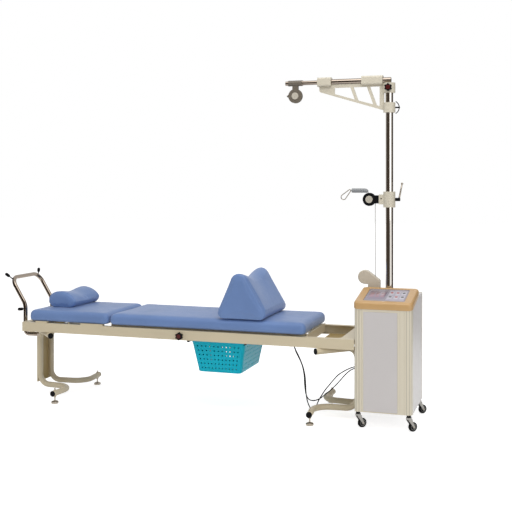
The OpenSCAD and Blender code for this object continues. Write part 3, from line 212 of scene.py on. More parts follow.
def opaque(rgb):
    return tuple(rgb)[:3] + (1.0,)


# Every material by its short name
FINISHES = {}


class Shader:
    """A procedural material whose pattern nodes read Object coordinates."""

    def __init__(self, name, base, rough, metallic=0.0, **sockets):
        FINISHES[name] = bpy.data.materials.new(name)
        FINISHES[name].use_nodes = True
        self.tree = FINISHES[name].node_tree
        self.skin = self.tree.nodes["Principled BSDF"]
        self.base = opaque(base)
        start = {"Base_Color": self.base, "Roughness": rough, "Metallic": metallic}
        for socket, value in {**start, **sockets}.items():
            self.skin.inputs[socket.replace("_", " ")].default_value = value
        self.place = self.add("ShaderNodeTexCoord").outputs["Object"]

    def add(self, kind, inputs=(), **settings):
        return add_node(self.tree, kind, inputs, **settings)

    def link(self, out, socket):
        self.tree.links.new(out, self.skin.inputs[socket])

    def stretched(self, scale):
        return self.add("ShaderNodeMapping", {"Vector": self.place, "Scale": scale}).outputs[0]

    def noise(self, scale, detail=3.0, vector=None):
        return self.add("ShaderNodeTexNoise", {"Vector": vector or self.place, "Scale": scale,
                                               "Detail": detail}).outputs["Fac"]

    def cells(self, scale):
        return self.add("ShaderNodeTexVoronoi", {"Vector": self.place, "Scale": scale},
                        feature="DISTANCE_TO_EDGE").outputs["Distance"]

    def span(self, value, low, high, out_low=0.0, out_high=1.0):
        return self.add("ShaderNodeMapRange", {
            "Value": value, "From Min": low, "From Max": high, "To Min": out_low,
            "To Max": out_high}).outputs["Result"]

    def mixed(self, share, a, b):
        a, b = (v if isinstance(v, bpy.types.NodeSocket) else opaque(v) for v in (a, b))
        return self.add("ShaderNodeMix", {"Factor": share, 6: a, 7: b},
                        data_type="RGBA").outputs[2]

    def tinted(self, share, dark, light):
        """Varies the base colour between two shades of itself."""
        shades = [tuple(min(1.0, c * k) for c in self.base[:3]) for k in (dark, light)]
        self.link(self.mixed(share, *shades), "Base Color")

    def along(self, axis):
        """One coordinate of the surface point, in metres."""
        return self.add("ShaderNodeSeparateXYZ", {"Vector": self.place}).outputs[axis]

    def arithmetic(self, operation, a, b):
        return self.add("ShaderNodeMath", {0: a, 1: b}, operation=operation).outputs[0]

    def distance(self, value, centre):
        return self.arithmetic("ABSOLUTE", self.arithmetic("SUBTRACT", value, centre), 0.0)

    def band(self, value, centre, half, soft=0.0004):
        """One within half of a centre, falling to nothing beyond it."""
        return self.span(self.distance(value, centre), half, half + soft, 1.0, 0.0)

    def bumped(self, height, strength, distance, under=None):
        inputs = {"Height": height, "Strength": strength, "Distance": distance}
        if under:
            inputs["Normal"] = under
        out = self.add("ShaderNodeBump", inputs).outputs[0]
        self.link(out, "Normal")
        return out

    def roughened(self, share, low, high):
        self.link(self.span(share, 0.25, 0.75, low, high), "Roughness")

    def orange_peel(self, low, high, strength=0.10):
        """The uneven shine and fine dimples of powder coat."""
        self.roughened(self.noise(30.0, 3.0), low, high)
        return self.bumped(self.noise(420.0, 2.0), strength, 0.0004)


def vinyl_finish(base):
    """Soft upholstery vinyl: fine leather grain, faint handling sheen, shallow stretch wrinkles."""
    s = Shader("vinyl", base, 0.46, Specular_IOR_Level=0.42, Sheen_Weight=0.18,
               Sheen_Roughness=0.45)
    s.tinted(s.span(s.noise(3.2, 4.0), 0.3, 0.7), 0.93, 1.06)
    s.roughened(s.noise(14.0, 4.0), 0.40, 0.52)
    grain = s.bumped(s.span(s.cells(760.0), 0.0, 0.22), 0.16, 0.0004)
    s.bumped(s.noise(26.0, 2.0, s.stretched((1.0, 1.6, 2.2))), 0.10, 0.003, grain)


def powder_coat(name, base, rough=0.42, wear=0.05, **sockets):
    """Powder coat: orange-peel skin, slightly uneven shade."""
    sockets.setdefault("Specular_IOR_Level", 0.35)
    s = Shader(name, base, rough, Coat_Weight=0.06, Coat_Roughness=0.25, **sockets)
    s.tinted(s.span(s.noise(2.1, 5.0), 0.3, 0.7), 1.0 - wear, 1.0 + wear)
    s.orange_peel(rough - 0.05, rough + 0.07)


# Half the width of the sheet between a leg's columns, where the painted shade lies, and the width
# of the cabinet's posts
LEG_SHEET_HALF = 0.054
POST_WIDTH = 0.052
# How far the posts' two flutes lie from the cabinet's edge, and how dark the painted shade in them
# is
FLUTES_IN = (0.016, 0.034)
FLUTE_PAINTED_SHADE = 0.72


def leg_coat_and_shade(base, shade):
    """Frame paint on a leg, with painted shade: the sheet between its columns is a darker brown
    that stands in for the shade in its recess.
    """
    s = Shader("leg_paint_and_shade", base, 0.44, Specular_IOR_Level=0.28)
    # Painted shade: the band between the columns takes the darker shade colour instead of the frame
    # paint
    sheet = s.band(s.along("Y"), 0.0, LEG_SHEET_HALF, 0.002)
    s.link(s.mixed(sheet, base, shade), "Base Color")
    s.orange_peel(0.37, 0.49)


def cabinet_coat_and_shade(post, panel, low, high):
    """Cream corner posts with shallow flutes, and grey sheet between them on every side; painted
    shade darkens the flutes and the seams at the sheets' edges.
    """
    s = Shader("cabinet_paint", post, 0.34, Specular_IOR_Level=0.5, Coat_Weight=0.10,
               Coat_Roughness=0.25)
    middle, half = (low + high) / 2, (high - low) / 2
    x, y = s.along("X"), s.along("Y")
    sheet_half = half.y - POST_WIDTH
    side = s.band(y, middle.y, sheet_half)
    flutes_and_shade = s.band(s.distance(y, middle.y), sheet_half, 0.0009, 0.0003)
    for inwards in FLUTES_IN:
        for value, centre, reach in ((x, middle.x, half.x), (y, middle.y, half.y)):
            flute = s.band(s.distance(value, centre), reach - inwards, 0.0012, 0.0016)
            flutes_and_shade = s.arithmetic("MAXIMUM", flutes_and_shade, flute)
    base = s.mixed(side, post, panel)
    # Painted shade: the flutes and seams take a darker copy of the post colour
    s.link(s.mixed(flutes_and_shade, base, tuple(FLUTE_PAINTED_SHADE * c for c in post)), "Base Color")
    peel = s.orange_peel(0.30, 0.42, 0.08)
    s.bumped(s.arithmetic("SUBTRACT", 1.0, flutes_and_shade), 0.6, 0.0012, peel)


def bright_plate(name, base, rough=0.05):
    """Bright chrome plate with faint polishing marks."""
    s = Shader(name, base, rough, 1.0)
    s.roughened(s.noise(55.0, 4.0), rough, rough + 0.04)
    s.bumped(s.noise(900.0, 2.0, s.stretched((1.0, 1.0, 0.05))), 0.02, 0.0002)


def zinc_plate(name, base):
    """Zinc-plated steel: cloudy crystals and a dull shine."""
    s = Shader(name, base, 0.3, 1.0)
    s.tinted(s.span(s.cells(160.0), 0.0, 0.35), 0.85, 1.08)
    s.roughened(s.noise(90.0, 3.0), 0.24, 0.4)


def moulded(name, base, rough=0.38, grain=600.0, depth=0.08, **sockets):
    """Injection-moulded plastic: fine spark texture and slight flow shading."""
    sockets.setdefault("Specular_IOR_Level", 0.5)
    s = Shader(name, base, rough, **sockets)
    s.tinted(s.span(s.noise(6.0, 3.0), 0.3, 0.7), 0.95, 1.05)
    s.roughened(s.noise(60.0, 3.0), rough - 0.04, rough + 0.06)
    s.bumped(s.noise(grain, 2.0), depth, 0.0003)


def tyre_rubber(name):
    """Dusty dark rubber."""
    s = Shader(name, (0.005, 0.005, 0.005), 0.7, Specular_IOR_Level=0.08)
    s.tinted(s.span(s.noise(80.0, 4.0), 0.35, 0.7), 0.8, 1.6)
    s.bumped(s.noise(700.0, 3.0), 0.2, 0.0004)


def braided_rope(name):
    """White braided cord: crossing strands along Z."""
    s = Shader(name, (0.44, 0.43, 0.40), 0.8, Sheen_Weight=0.2)
    strands = s.add("ShaderNodeTexWave", {"Vector": s.place, "Scale": 180.0}, wave_type="BANDS",
                    bands_direction="DIAGONAL").outputs["Fac"]
    s.tinted(s.span(strands, 0.2, 0.8), 0.75, 1.05)
    s.bumped(strands, 0.4, 0.0006)


def make_finishes(scene):
    metal, plastic = scene.table_metal, scene.table_plastic
    vinyl_finish(scene.table_upholstery.vinyl)
    powder_coat("frame_paint", metal.frame_paint)
    leg_coat_and_shade(metal.frame_paint, metal.painted_shade_brown)
    # The cross members take the painted shade brown, a darker copy of the frame paint that stands
    # in for the shade they lie in
    powder_coat("painted_shade_brown", metal.painted_shade_brown, 0.50, Specular_IOR_Level=0.15)
    powder_coat("arm_paint", metal.arm_paint, 0.36)
    cabinet_coat_and_shade(metal.cabinet_paint, metal.front_paint, *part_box("cabinet_body"))
    powder_coat("front_paint", metal.front_paint, 0.40, 0.02)
    powder_coat("fork_paint", (0.30, 0.29, 0.27), 0.28, Metallic=0.85)
    powder_coat("housing_paint", metal.housing_paint, 0.34)
    bright_plate("chrome", metal.chrome)
    # Chrome darkened with painted reflection, for the bar and the arm
    bright_plate("painted_reflection_chrome", metal.painted_reflection_chrome, 0.09)
    zinc_plate("zinc_plate", metal.steel)
    moulded("black_plastic", plastic.black, 0.50, Specular_IOR_Level=0.08)
    moulded("basket_plastic", plastic.basket, 0.36, 300.0, 0.05, Subsurface_Weight=0.15,
            Subsurface_Scale=0.004, Specular_IOR_Level=0.2)
    moulded("keypad", plastic.keypad, 0.36, 900.0, 0.05)
    moulded("knob_disc", plastic.knob_disc, 0.34, Specular_IOR_Level=0.3)
    moulded("cable_jacket", (0.006, 0.006, 0.006), 0.55, 1400.0, 0.1, Specular_IOR_Level=0.1)
    tyre_rubber("tyre_rubber")
    braided_rope("braided_rope")
    for name, base, rough in (
            ("console_plastic", plastic.console, 0.34), ("ivory", plastic.ivory, 0.30),
            ("grey_plastic", plastic.grey, 0.42), ("hub_plastic", (0.50, 0.46, 0.38), 0.40),
            ("wheel_hub", (0.21, 0.21, 0.20), 0.45), ("display", (0.29, 0.235, 0.30), 0.22),
            ("display_glass", (0.36, 0.22, 0.27), 0.12), ("key_face", (0.43, 0.40, 0.47), 0.40),
            ("key_pale", (0.55, 0.53, 0.58), 0.40), ("key_dark", (0.035, 0.03, 0.04), 0.35),
            ("key_red", (0.38, 0.03, 0.03), 0.35), ("panel_lamp", (0.80, 0.76, 0.66), 0.2)):
        moulded(name, base, rough)


def numbered(name, count):
    return tuple(f"{name}_{k}" for k in range(1, count + 1))


DRESS = {
    "frame_paint": ("near_rail", "far_rail", "head_end_beam", "foot_end_plate", "head_supports",
                    "carriage_frame"),
    "leg_paint_and_shade": ("head_leg", "foot_leg"),
    # The cross members: frame paint darkened with painted shade
    "painted_shade_brown": ("cross_members",),
    "arm_paint": ("mid_clamp", "truss_arm"),
    "hub_plastic": ("lower_pulley", "upper_pulley"),
    "housing_paint": ("upper_pulley_housing",),
    "black_plastic": ("tube_end_caps", "strap_pegs", "basket_runners", "caster_collars",
                      "pulley_fork", "bow_handle", "cable_gland", "rail_knob", "arm_knob"),
    "zinc_plate": numbered("levelling_foot", 4) + numbered("carriage_axle", 2)
                  + ("hook", "hook_gate", "clamp_lever"),
    # The bar and the arm: chrome darkened with painted reflection
    "painted_reflection_chrome": ("strap_bar", "arm_tube", "arm_rod"),
    "chrome": ("mast",),
    "vinyl": ("head_cushion", "main_cushion", "neck_pillow", "knee_bolster"),
    "basket_plastic": ("basket",),
    "cabinet_paint": ("cabinet_body", "cabinet_base"),
    "front_paint": ("front_panel",),
    "console_plastic": ("console_bezel",),
    "keypad": ("control_panel",),
    "fork_paint": numbered("caster_fork", 4),
    "tyre_rubber": numbered("caster_wheel", 4),
    "braided_rope": ("rope",),
    "grey_plastic": ("rope_end", "guide_wheel"),
    "cable_jacket": numbered("signal_cable", 2),
    "ivory": ("rope_guide",),
}


# Mesh helpers


def new_piece(name, verts, faces, finish, smooth=True):
    mesh = bpy.data.meshes.new(name)
    mesh.from_pydata([tuple(v) for v in verts], [], faces)
    mesh.validate()
    mesh.update()
    piece = bpy.data.objects.new(name, mesh)
    bpy.context.scene.collection.objects.link(piece)
    mesh.materials.append(FINISHES[finish])
    mesh.polygons.foreach_set("use_smooth", [smooth] * len(mesh.polygons))
    return piece


def outward(piece):
    """Merges doubles and turns every face outwards."""
    bm = bmesh.new()
    bm.from_mesh(piece.data)
    bmesh.ops.remove_doubles(bm, verts=bm.verts, dist=1e-6)
    bmesh.ops.recalc_face_normals(bm, faces=bm.faces)
    bm.to_mesh(piece.data)
    bm.free()
    return piece


def loft(rings, ends=True, round_trip=False):
    """Vertices and faces of a skin through rings of equal count."""
    n = len(rings[0])
    verts = [p for ring in rings for p in ring]
    faces = []
    pairs = list(zip(range(len(rings)), range(1, len(rings))))
    if round_trip:
        pairs.append((len(rings) - 1, 0))
    for i, j in pairs:
        for k in range(n):
            m = (k + 1) % n
            faces.append((i * n + k, i * n + m, j * n + m, j * n + k))
    if ends and not round_trip:
        faces += [tuple(reversed(range(n))), tuple(range((len(rings) - 1) * n, len(rings) * n))]
    return verts, faces


def skin(name, rings, finish, round_trip=False):
    """A closed piece through rings of equal count."""
    return outward(new_piece(name, *loft(rings, round_trip=round_trip), finish))


def quarter(steps):
    """Sine and cosine at even steps from 0 to 90 degrees."""
    return [(math.sin(a), math.cos(a)) for a in
            (math.pi / 2 * k / steps for k in range(steps + 1))]


def circle(centre, across, up, radius, sides):
    """Points round a centre, in the plane of two directions."""
    return [centre + (across * math.cos(a) + up * math.sin(a)) * radius
            for a in (math.tau * k / sides for k in range(sides))]


def tube(name, path, radius, finish, sides=12, closed=False):
    """A round tube along a path, with a radius or one radius per point."""
    radii = radius if isinstance(radius, (list, tuple)) else [radius] * len(path)
    rings, last = [], None
    for i, p in enumerate(path):
        if closed:
            ahead = (path[(i + 1) % len(path)] - path[i - 1]).normalized()
        else:
            ahead = (path[min(i + 1, len(path) - 1)] - path[max(i - 1, 0)]).normalized()
        if last is None:
            across = ahead.cross(Vector((0.1, 0.2, 1.0))).normalized()
        else:
            across = (last - ahead * last.dot(ahead)).normalized()
        last = across
        rings.append(circle(p, across, ahead.cross(across).normalized(), radii[i], sides))
    return skin(name, rings, finish, closed)


def turned(name, centre, axis, profile, finish, sides=40):
    """A turned piece: radius and height pairs swept round an axis through a centre."""
    axis = axis.normalized()
    across = axis.cross(Vector((0.12, 0.31, 0.9))).normalized()
    up = axis.cross(across).normalized()
    rings = [circle(centre + axis * height, across, up, max(radius, 0.00001), sides)
             for radius, height in profile]
    return auto_smooth(skin(name, rings, finish), 32.0)


def smooth_path(points, per_span=6):
    """A Catmull-Rom line through given points."""
    out = []
    last = len(points) - 1
    for i in range(last):
        a, b = points[max(i - 1, 0)], points[i]
        c, d = points[i + 1], points[min(i + 2, last)]
        for k in range(per_span):
            t = k / per_span
            out.append(0.5 * ((2 * b) + (c - a) * t + (2 * a - 5 * b + 4 * c - d) * t * t
                              + (3 * b - a - 3 * c + d) * t ** 3))
    out.append(points[last].copy())
    return out


def finish_modifiers(piece):
    """Bakes a piece's modifiers into its own mesh."""
    deps = bpy.context.evaluated_depsgraph_get()
    mesh = bpy.data.meshes.new_from_object(piece.evaluated_get(deps))
    piece.modifiers.clear()
    old = piece.data
    piece.data = mesh
    bpy.data.meshes.remove(old)
    return piece


def auto_smooth(piece, degrees=35.0):
    """Smooth faces, sharp where two meet at more than an angle."""
    bm = bmesh.new()
    bm.from_mesh(piece.data)
    limit = math.radians(degrees)
    for edge in bm.edges:
        if len(edge.link_faces) == 2:
            edge.smooth = edge.calc_face_angle(0.0) < limit
    for face in bm.faces:
        face.smooth = True
    bm.to_mesh(piece.data)
    bm.free()
    return piece


def settle(piece, body, node=None):
    """Puts a piece on its body, and in the place of a solid."""
    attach(piece, body)
    if node:
        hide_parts(node)


# Camera and cables

# The product photo's camera, in the drawing's millimetres, degrees and the photo's pixels
CAMERA_AT = (2348.0, -5799.0, 1532.0)
CAMERA_TURN = 18.0
FOCAL_PIXELS = 883.0
PHOTO_PIXELS = 512.0
HORIZON_RISE = 69.9
SENSOR = 36.0

# Points along each cable, in the drawing's millimetres, from the rail to the cabinet
CABLE_1_ROUTE = (
    (792, -246, 491), (799, -246, 491), (807, -245, 482), (817, -243, 460),
    (831, -238, 430), (846, -224, 387), (857, -204, 338), (861, -178, 280), (858, -150, 218),
    (854, -126, 160), (856, -103, 105), (867, -80, 57), (883, -62, 34), (901, -50, 54),
    (917, -42, 92), (937, -40, 128), (966, -46, 172), (1005, -58, 220), (1053, -76, 276),
    (1101, -94, 313), (1148, -110, 340), (1180, -120, 353), (1200, -125, 358), (1211, -125, 358))
CABLE_2_ROUTE = (
    (792, -233, 491), (798, -233, 491), (804, -232, 478), (812, -228, 450),
    (825, -221, 420), (840, -206, 380), (848, -186, 337), (850, -160, 282), (845, -130, 220),
    (845, -106, 161), (851, -94, 130), (862, -86, 110), (879, -77, 101), (901, -68, 101),
    (927, -61, 111), (950, -58, 128), (974, -60, 149), (1003, -66, 173), (1033, -76, 203),
    (1070, -90, 243), (1106, -104, 285), (1143, -120, 322), (1178, -136, 344), (1200, -142, 350),
    (1211, -142, 350))


class TABLE_OT_camera(bpy.types.Operator):
    """Places the camera where the product photo was taken"""
    bl_idname = "table.camera"
    bl_label = "Camera"

    def execute(self, context):
        lens = bpy.data.cameras.new("product_camera")
        lens.sensor_width = SENSOR
        lens.lens = FOCAL_PIXELS / PHOTO_PIXELS * SENSOR
        lens.shift_y = -HORIZON_RISE / PHOTO_PIXELS
        lens.clip_end = 60.0
        camera = bpy.data.objects.new("product_camera", lens)
        camera.location = at(*CAMERA_AT)
        camera.rotation_euler = (math.pi / 2, 0.0, math.radians(CAMERA_TURN))
        context.scene.collection.objects.link(camera)
        context.scene.camera = camera
        return {"FINISHED"}


class TABLE_OT_cables(bpy.types.Operator):
    """Makes the two signal cables between the rail and the cabinet"""
    bl_idname = "table.cables"
    bl_label = "Signal cables"

    def execute(self, context):
        settings = context.scene.table_cables
        for number, route in ((1, CABLE_1_ROUTE), (2, CABLE_2_ROUTE)):
            path = smooth_path([at(*p) for p in route], 4)
            piece = tube(f"signal_cable_jacket_{number}", path, settings.diameter / 2,
                         "cable_jacket", settings.sides)
            settle(piece, "frame", f"signal_cable_{number}")
        return {"FINISHED"}


# Upholstery


def rounded_outline(half_x, half_y, corners, pull, corner_steps, side_steps):
    """Plan of a pad, counter-clockwise: round corners, sides drawn in between them.

    corners is one radius, or a pair for the right and the left end."""
    right, left = corners if isinstance(corners, tuple) else (corners, corners)
    points = []
    # Each corner's place and radius, the two ends of the side after it, and the way inwards
    for turn, (sx, sy, corner, (x0, y0), (x1, y1), (in_x, in_y)) in enumerate((
            (1, 1, right, (half_x - right, half_y), (left - half_x, half_y), (0, -1)),
            (-1, 1, left, (-half_x, half_y - left), (-half_x, left - half_y), (1, 0)),
            (-1, -1, left, (left - half_x, -half_y), (half_x - right, -half_y), (0, 1)),
            (1, -1, right, (half_x, right - half_y), (half_x, half_y - right), (-1, 0)))):
        for k in range(corner_steps + 1):
            a = math.radians(90.0 * turn + 90.0 * k / corner_steps)
            points.append((sx * (half_x - corner) + corner * math.cos(a),
                           sy * (half_y - corner) + corner * math.sin(a)))
        for k in range(1, side_steps + 1):
            t = k / (side_steps + 1)
            bow = pull * math.sin(math.pi * t)
            points.append((x0 + (x1 - x0) * t + in_x * bow, y0 + (y1 - y0) * t + in_y * bow))
    return points


def pad_form(name, low, high, corners, edge, crown, pull, bottom_edge):
    """A filled pad between two corners of a box: round edges, crowned top, flat underside."""
    half, middle = (high - low) / 2, (high + low) / 2
    shoulder = high.z - low.z - crown
    rings = []

    def ring(inset, z, pull_here):
        tight = tuple(max(corner - inset, corner * 0.12) for corner in corners)
        plan = rounded_outline(half.x - inset, half.y - inset, tight, pull_here, 10, 16)
        rings.append([Vector((x + middle.x, y + middle.y, low.z + z)) for x, y in plan])

    for share in (0.9, 0.6, 0.3):
        ring(bottom_edge + (half.y - bottom_edge) * share, 0.0, 0.0)
    for sine, cosine in quarter(7):
        ring(bottom_edge * (1 - sine), bottom_edge * (1 - cosine), pull)
    for sine, cosine in quarter(7):
        ring(edge * (1 - cosine), shoulder - edge * (1 - sine), pull)
    for share in (0.12, 0.3, 0.5, 0.7, 0.88):
        ring(edge + share * (half.y - edge), shoulder + crown * math.sin(math.pi / 2 * share),
             pull * (1 - share))
    return skin(name, rings, "vinyl")


def remeshed(piece, voxel):
    remesh = piece.modifiers.new("even mesh", "REMESH")
    remesh.mode = "VOXEL"
    remesh.voxel_size = voxel
    remesh.use_smooth_shade = True
    return finish_modifiers(piece)


CLOTH = {"quality": 4, "mass": 0.35, "tension_stiffness": 18.0, "compression_stiffness": 18.0,
         "shear_stiffness": 8.0, "bending_stiffness": 2.0, "use_pressure": True,
         "uniform_pressure_force": 4.0}


def filled(piece, settings, voxel, flat_z):
    """Blows the cover up with Cloth pressure, keeps it within the swell, and applies it.

    The underside stays at the height it rests at, flat_z."""
    swell = settings.swell
    remeshed(piece, voxel)
    scene = bpy.context.scene
    rest = [v.co.copy() for v in piece.data.vertices]
    cloth = piece.modifiers.new("filling", "CLOTH")
    for key, value in CLOTH.items():
        setattr(cloth.settings, key, value)
    cloth.settings.effector_weights.gravity = 0.0
    cloth.point_cache.frame_start = 1
    cloth.point_cache.frame_end = settings.fill_frames
    for step in range(1, settings.fill_frames + 1):
        scene.frame_set(step)
    deps = bpy.context.evaluated_depsgraph_get()
    moved = [v.co.copy() for v in piece.evaluated_get(deps).data.vertices]
    piece.modifiers.clear()
    scene.frame_set(1)
    for vertex, old, new in zip(piece.data.vertices, rest, moved):
        step = new - old
        if step.length > swell:
            step *= swell / step.length
        goal = old + step
        goal.z = max(goal.z, flat_z)
        vertex.co = goal
    subdivide = piece.modifiers.new("smooth cover", "SUBSURF")
    subdivide.levels = subdivide.render_levels = 1
    finish_modifiers(piece)
    piece.data.polygons.foreach_set("use_smooth", [True] * len(piece.data.polygons))
    return piece


class TABLE_OT_cushions(bpy.types.Operator):
    """Makes the head cushion and the rolling main cushion"""
    bl_idname = "table.cushions"
    bl_label = "Cushions"

    def execute(self, context):
        settings = context.scene.table_upholstery
        inset = Vector((settings.swell, settings.swell, 0.0)) * 0.6
        outer, inner = settings.outer_corner, settings.inner_corner
        for node, body, voxel, corners in (
                ("head_cushion", "frame", settings.small_voxel, (inner, outer)),
                ("main_cushion", "carriage", settings.main_voxel, (outer, inner))):
            low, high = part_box(node)
            piece = pad_form(f"{node}_cover", low + inset, high - inset, corners,
                             settings.edge, settings.crown, settings.pull, 0.018)
            filled(piece, settings, voxel, low.z)
            settle(piece, body, node)
        return {"FINISHED"}


# Points round the section of the pillow or bolster
SECTION_POINTS = 96
# The bolster's section, by its width: radius of its feet and of its apex, and the apex's lean
FOOT_SHARE, APEX_SHARE, LEAN_SHARE = 0.11, 0.175, -0.050


def bolster_outline(width, height, squeeze):
    """Rounded triangle in XZ, counter-clockwise seen from the near end."""
    width, height = width * squeeze, height * squeeze
    foot, apex, steps = FOOT_SHARE * width, APEX_SHARE * width, 9
    points = []
    for cx, cz, radius, start, end in (
            (-width / 2 + foot, foot, foot, 150.0, 270.0),
            (width / 2 - foot, foot, foot, 270.0, 388.0),
            (LEAN_SHARE * width, height - apex, apex, 28.0, 150.0)):
        for k in range(steps + 1):
            a = math.radians(start + (end - start) * k / steps)
            points.append((cx + radius * math.cos(a), cz + radius * math.sin(a)))
    return resample(points)


def resample(points, count=SECTION_POINTS):
    """The same closed outline with evenly spaced points."""
    closed = points + [points[0]]
    steps = [math.dist(a, b) for a, b in zip(closed, closed[1:])]
    total = sum(steps)
    out, i, walked = [], 0, 0.0
    for k in range(count):
        goal = total * k / count
        while walked + steps[i] < goal and i < len(steps) - 1:
            walked += steps[i]
            i += 1
        t = (goal - walked) / steps[i] if steps[i] else 0.0
        a, b = closed[i], closed[i + 1]
        out.append((a[0] + (b[0] - a[0]) * t, a[1] + (b[1] - a[1]) * t))
    return out


def pillow_outline(width, height, squeeze):
    """D-shaped section of the neck pillow, its top leaning to the left."""
    points, steps = [], 40
    for k in range(steps):
        a = math.tau * k / steps
        rise = max(0.0, math.sin(a))
        x = width * squeeze * (0.5 * math.cos(a) * (1 - 0.12 * rise) - 0.09 * rise)
        z = max(0.0, height * squeeze * (0.42 + 0.58 * math.sin(a)))
        points.append((x, z))
    return resample(points)


def rolled_pad(name, outline, low, high, end_round, heights):
    """A pad of one section along Y, with rounded ends and a height that varies."""
    centre_x, length_y = (low.x + high.x) / 2, high.y - low.y
    width, height = high.x - low.x, high.z - low.z
    steps = 7
    stations = [(end_round * (1 - cosine) / length_y,
                 1 - end_round / height * 1.6 * (1 - sine)) for sine, cosine in quarter(steps)]
    inner = [(end_round / length_y + (1 - 2 * end_round / length_y) * k / 26, 1.0)
             for k in range(1, 26)]
    stations += inner + [(1 - t, q) for t, q in reversed(stations)]
    rings = [[Vector((centre_x + x, low.y + t * length_y, low.z + z))
              for x, z in outline(width, height * heights(t), squeeze)]
             for t, squeeze in stations]
    return skin(name, rings, "vinyl"), (rings[steps], rings[-1 - steps])


def sewn_edges(cover, edges, radius, body):
    """Piping round a pad's end panels, laid on the filled cover."""
    mesh = cover.data
    surface = BVHTree.FromPolygons([v.co for v in mesh.vertices],
                                   [p.vertices[:] for p in mesh.polygons])
    floor_z = min(v.co.z for v in mesh.vertices) + radius
    for number, edge in enumerate(edges, 1):
        path = []
        for point in edge[::2]:
            spot = surface.find_nearest(point)[0]
            spot.z = max(spot.z, floor_z)
            path.append(spot)
        piping = tube(f"{cover.name}_piping_{number}", path, radius, "vinyl", 8, True)
        settle(piping, body)


# The photo shows the bolster this much wider to the left and higher than its solid
BOLSTER_WIDER = 0.017
BOLSTER_HIGHER = 0.009
# The round of the rolled pads' ends
ROLL_END = 0.016


class TABLE_OT_supports(bpy.types.Operator):
    """Makes the neck pillow and the knee bolster"""
    bl_idname = "table.supports"
    bl_label = "Pillow and bolster"

    def execute(self, context):
        settings = context.scene.table_upholstery
        widened = Vector((-BOLSTER_WIDER, 0.0, 0.0)), Vector((0.0, 0.0, BOLSTER_HIGHER))
        same = Vector(), Vector()
        for node, body, outline, grown, sink, voxel, fill in (
                ("neck_pillow", "pillow", pillow_outline, same, 0.16, 0.005, 0.8),
                ("knee_bolster", "bolster", bolster_outline, widened, 0.12,
                 settings.small_voxel, 0.9)):
            low, high = (corner + more for corner, more in zip(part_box(node), grown))
            pad, edges = rolled_pad(f"{node}_cover", outline, low, high, ROLL_END,
                                    lambda t: 1.0 - sink * math.sin(math.pi * t) ** 2)
            filled(pad, settings, voxel, low.z)
            sewn_edges(pad, edges, settings.seam_radius, body)
            settle(pad, body, node)
        return {"FINISHED"}


# Console


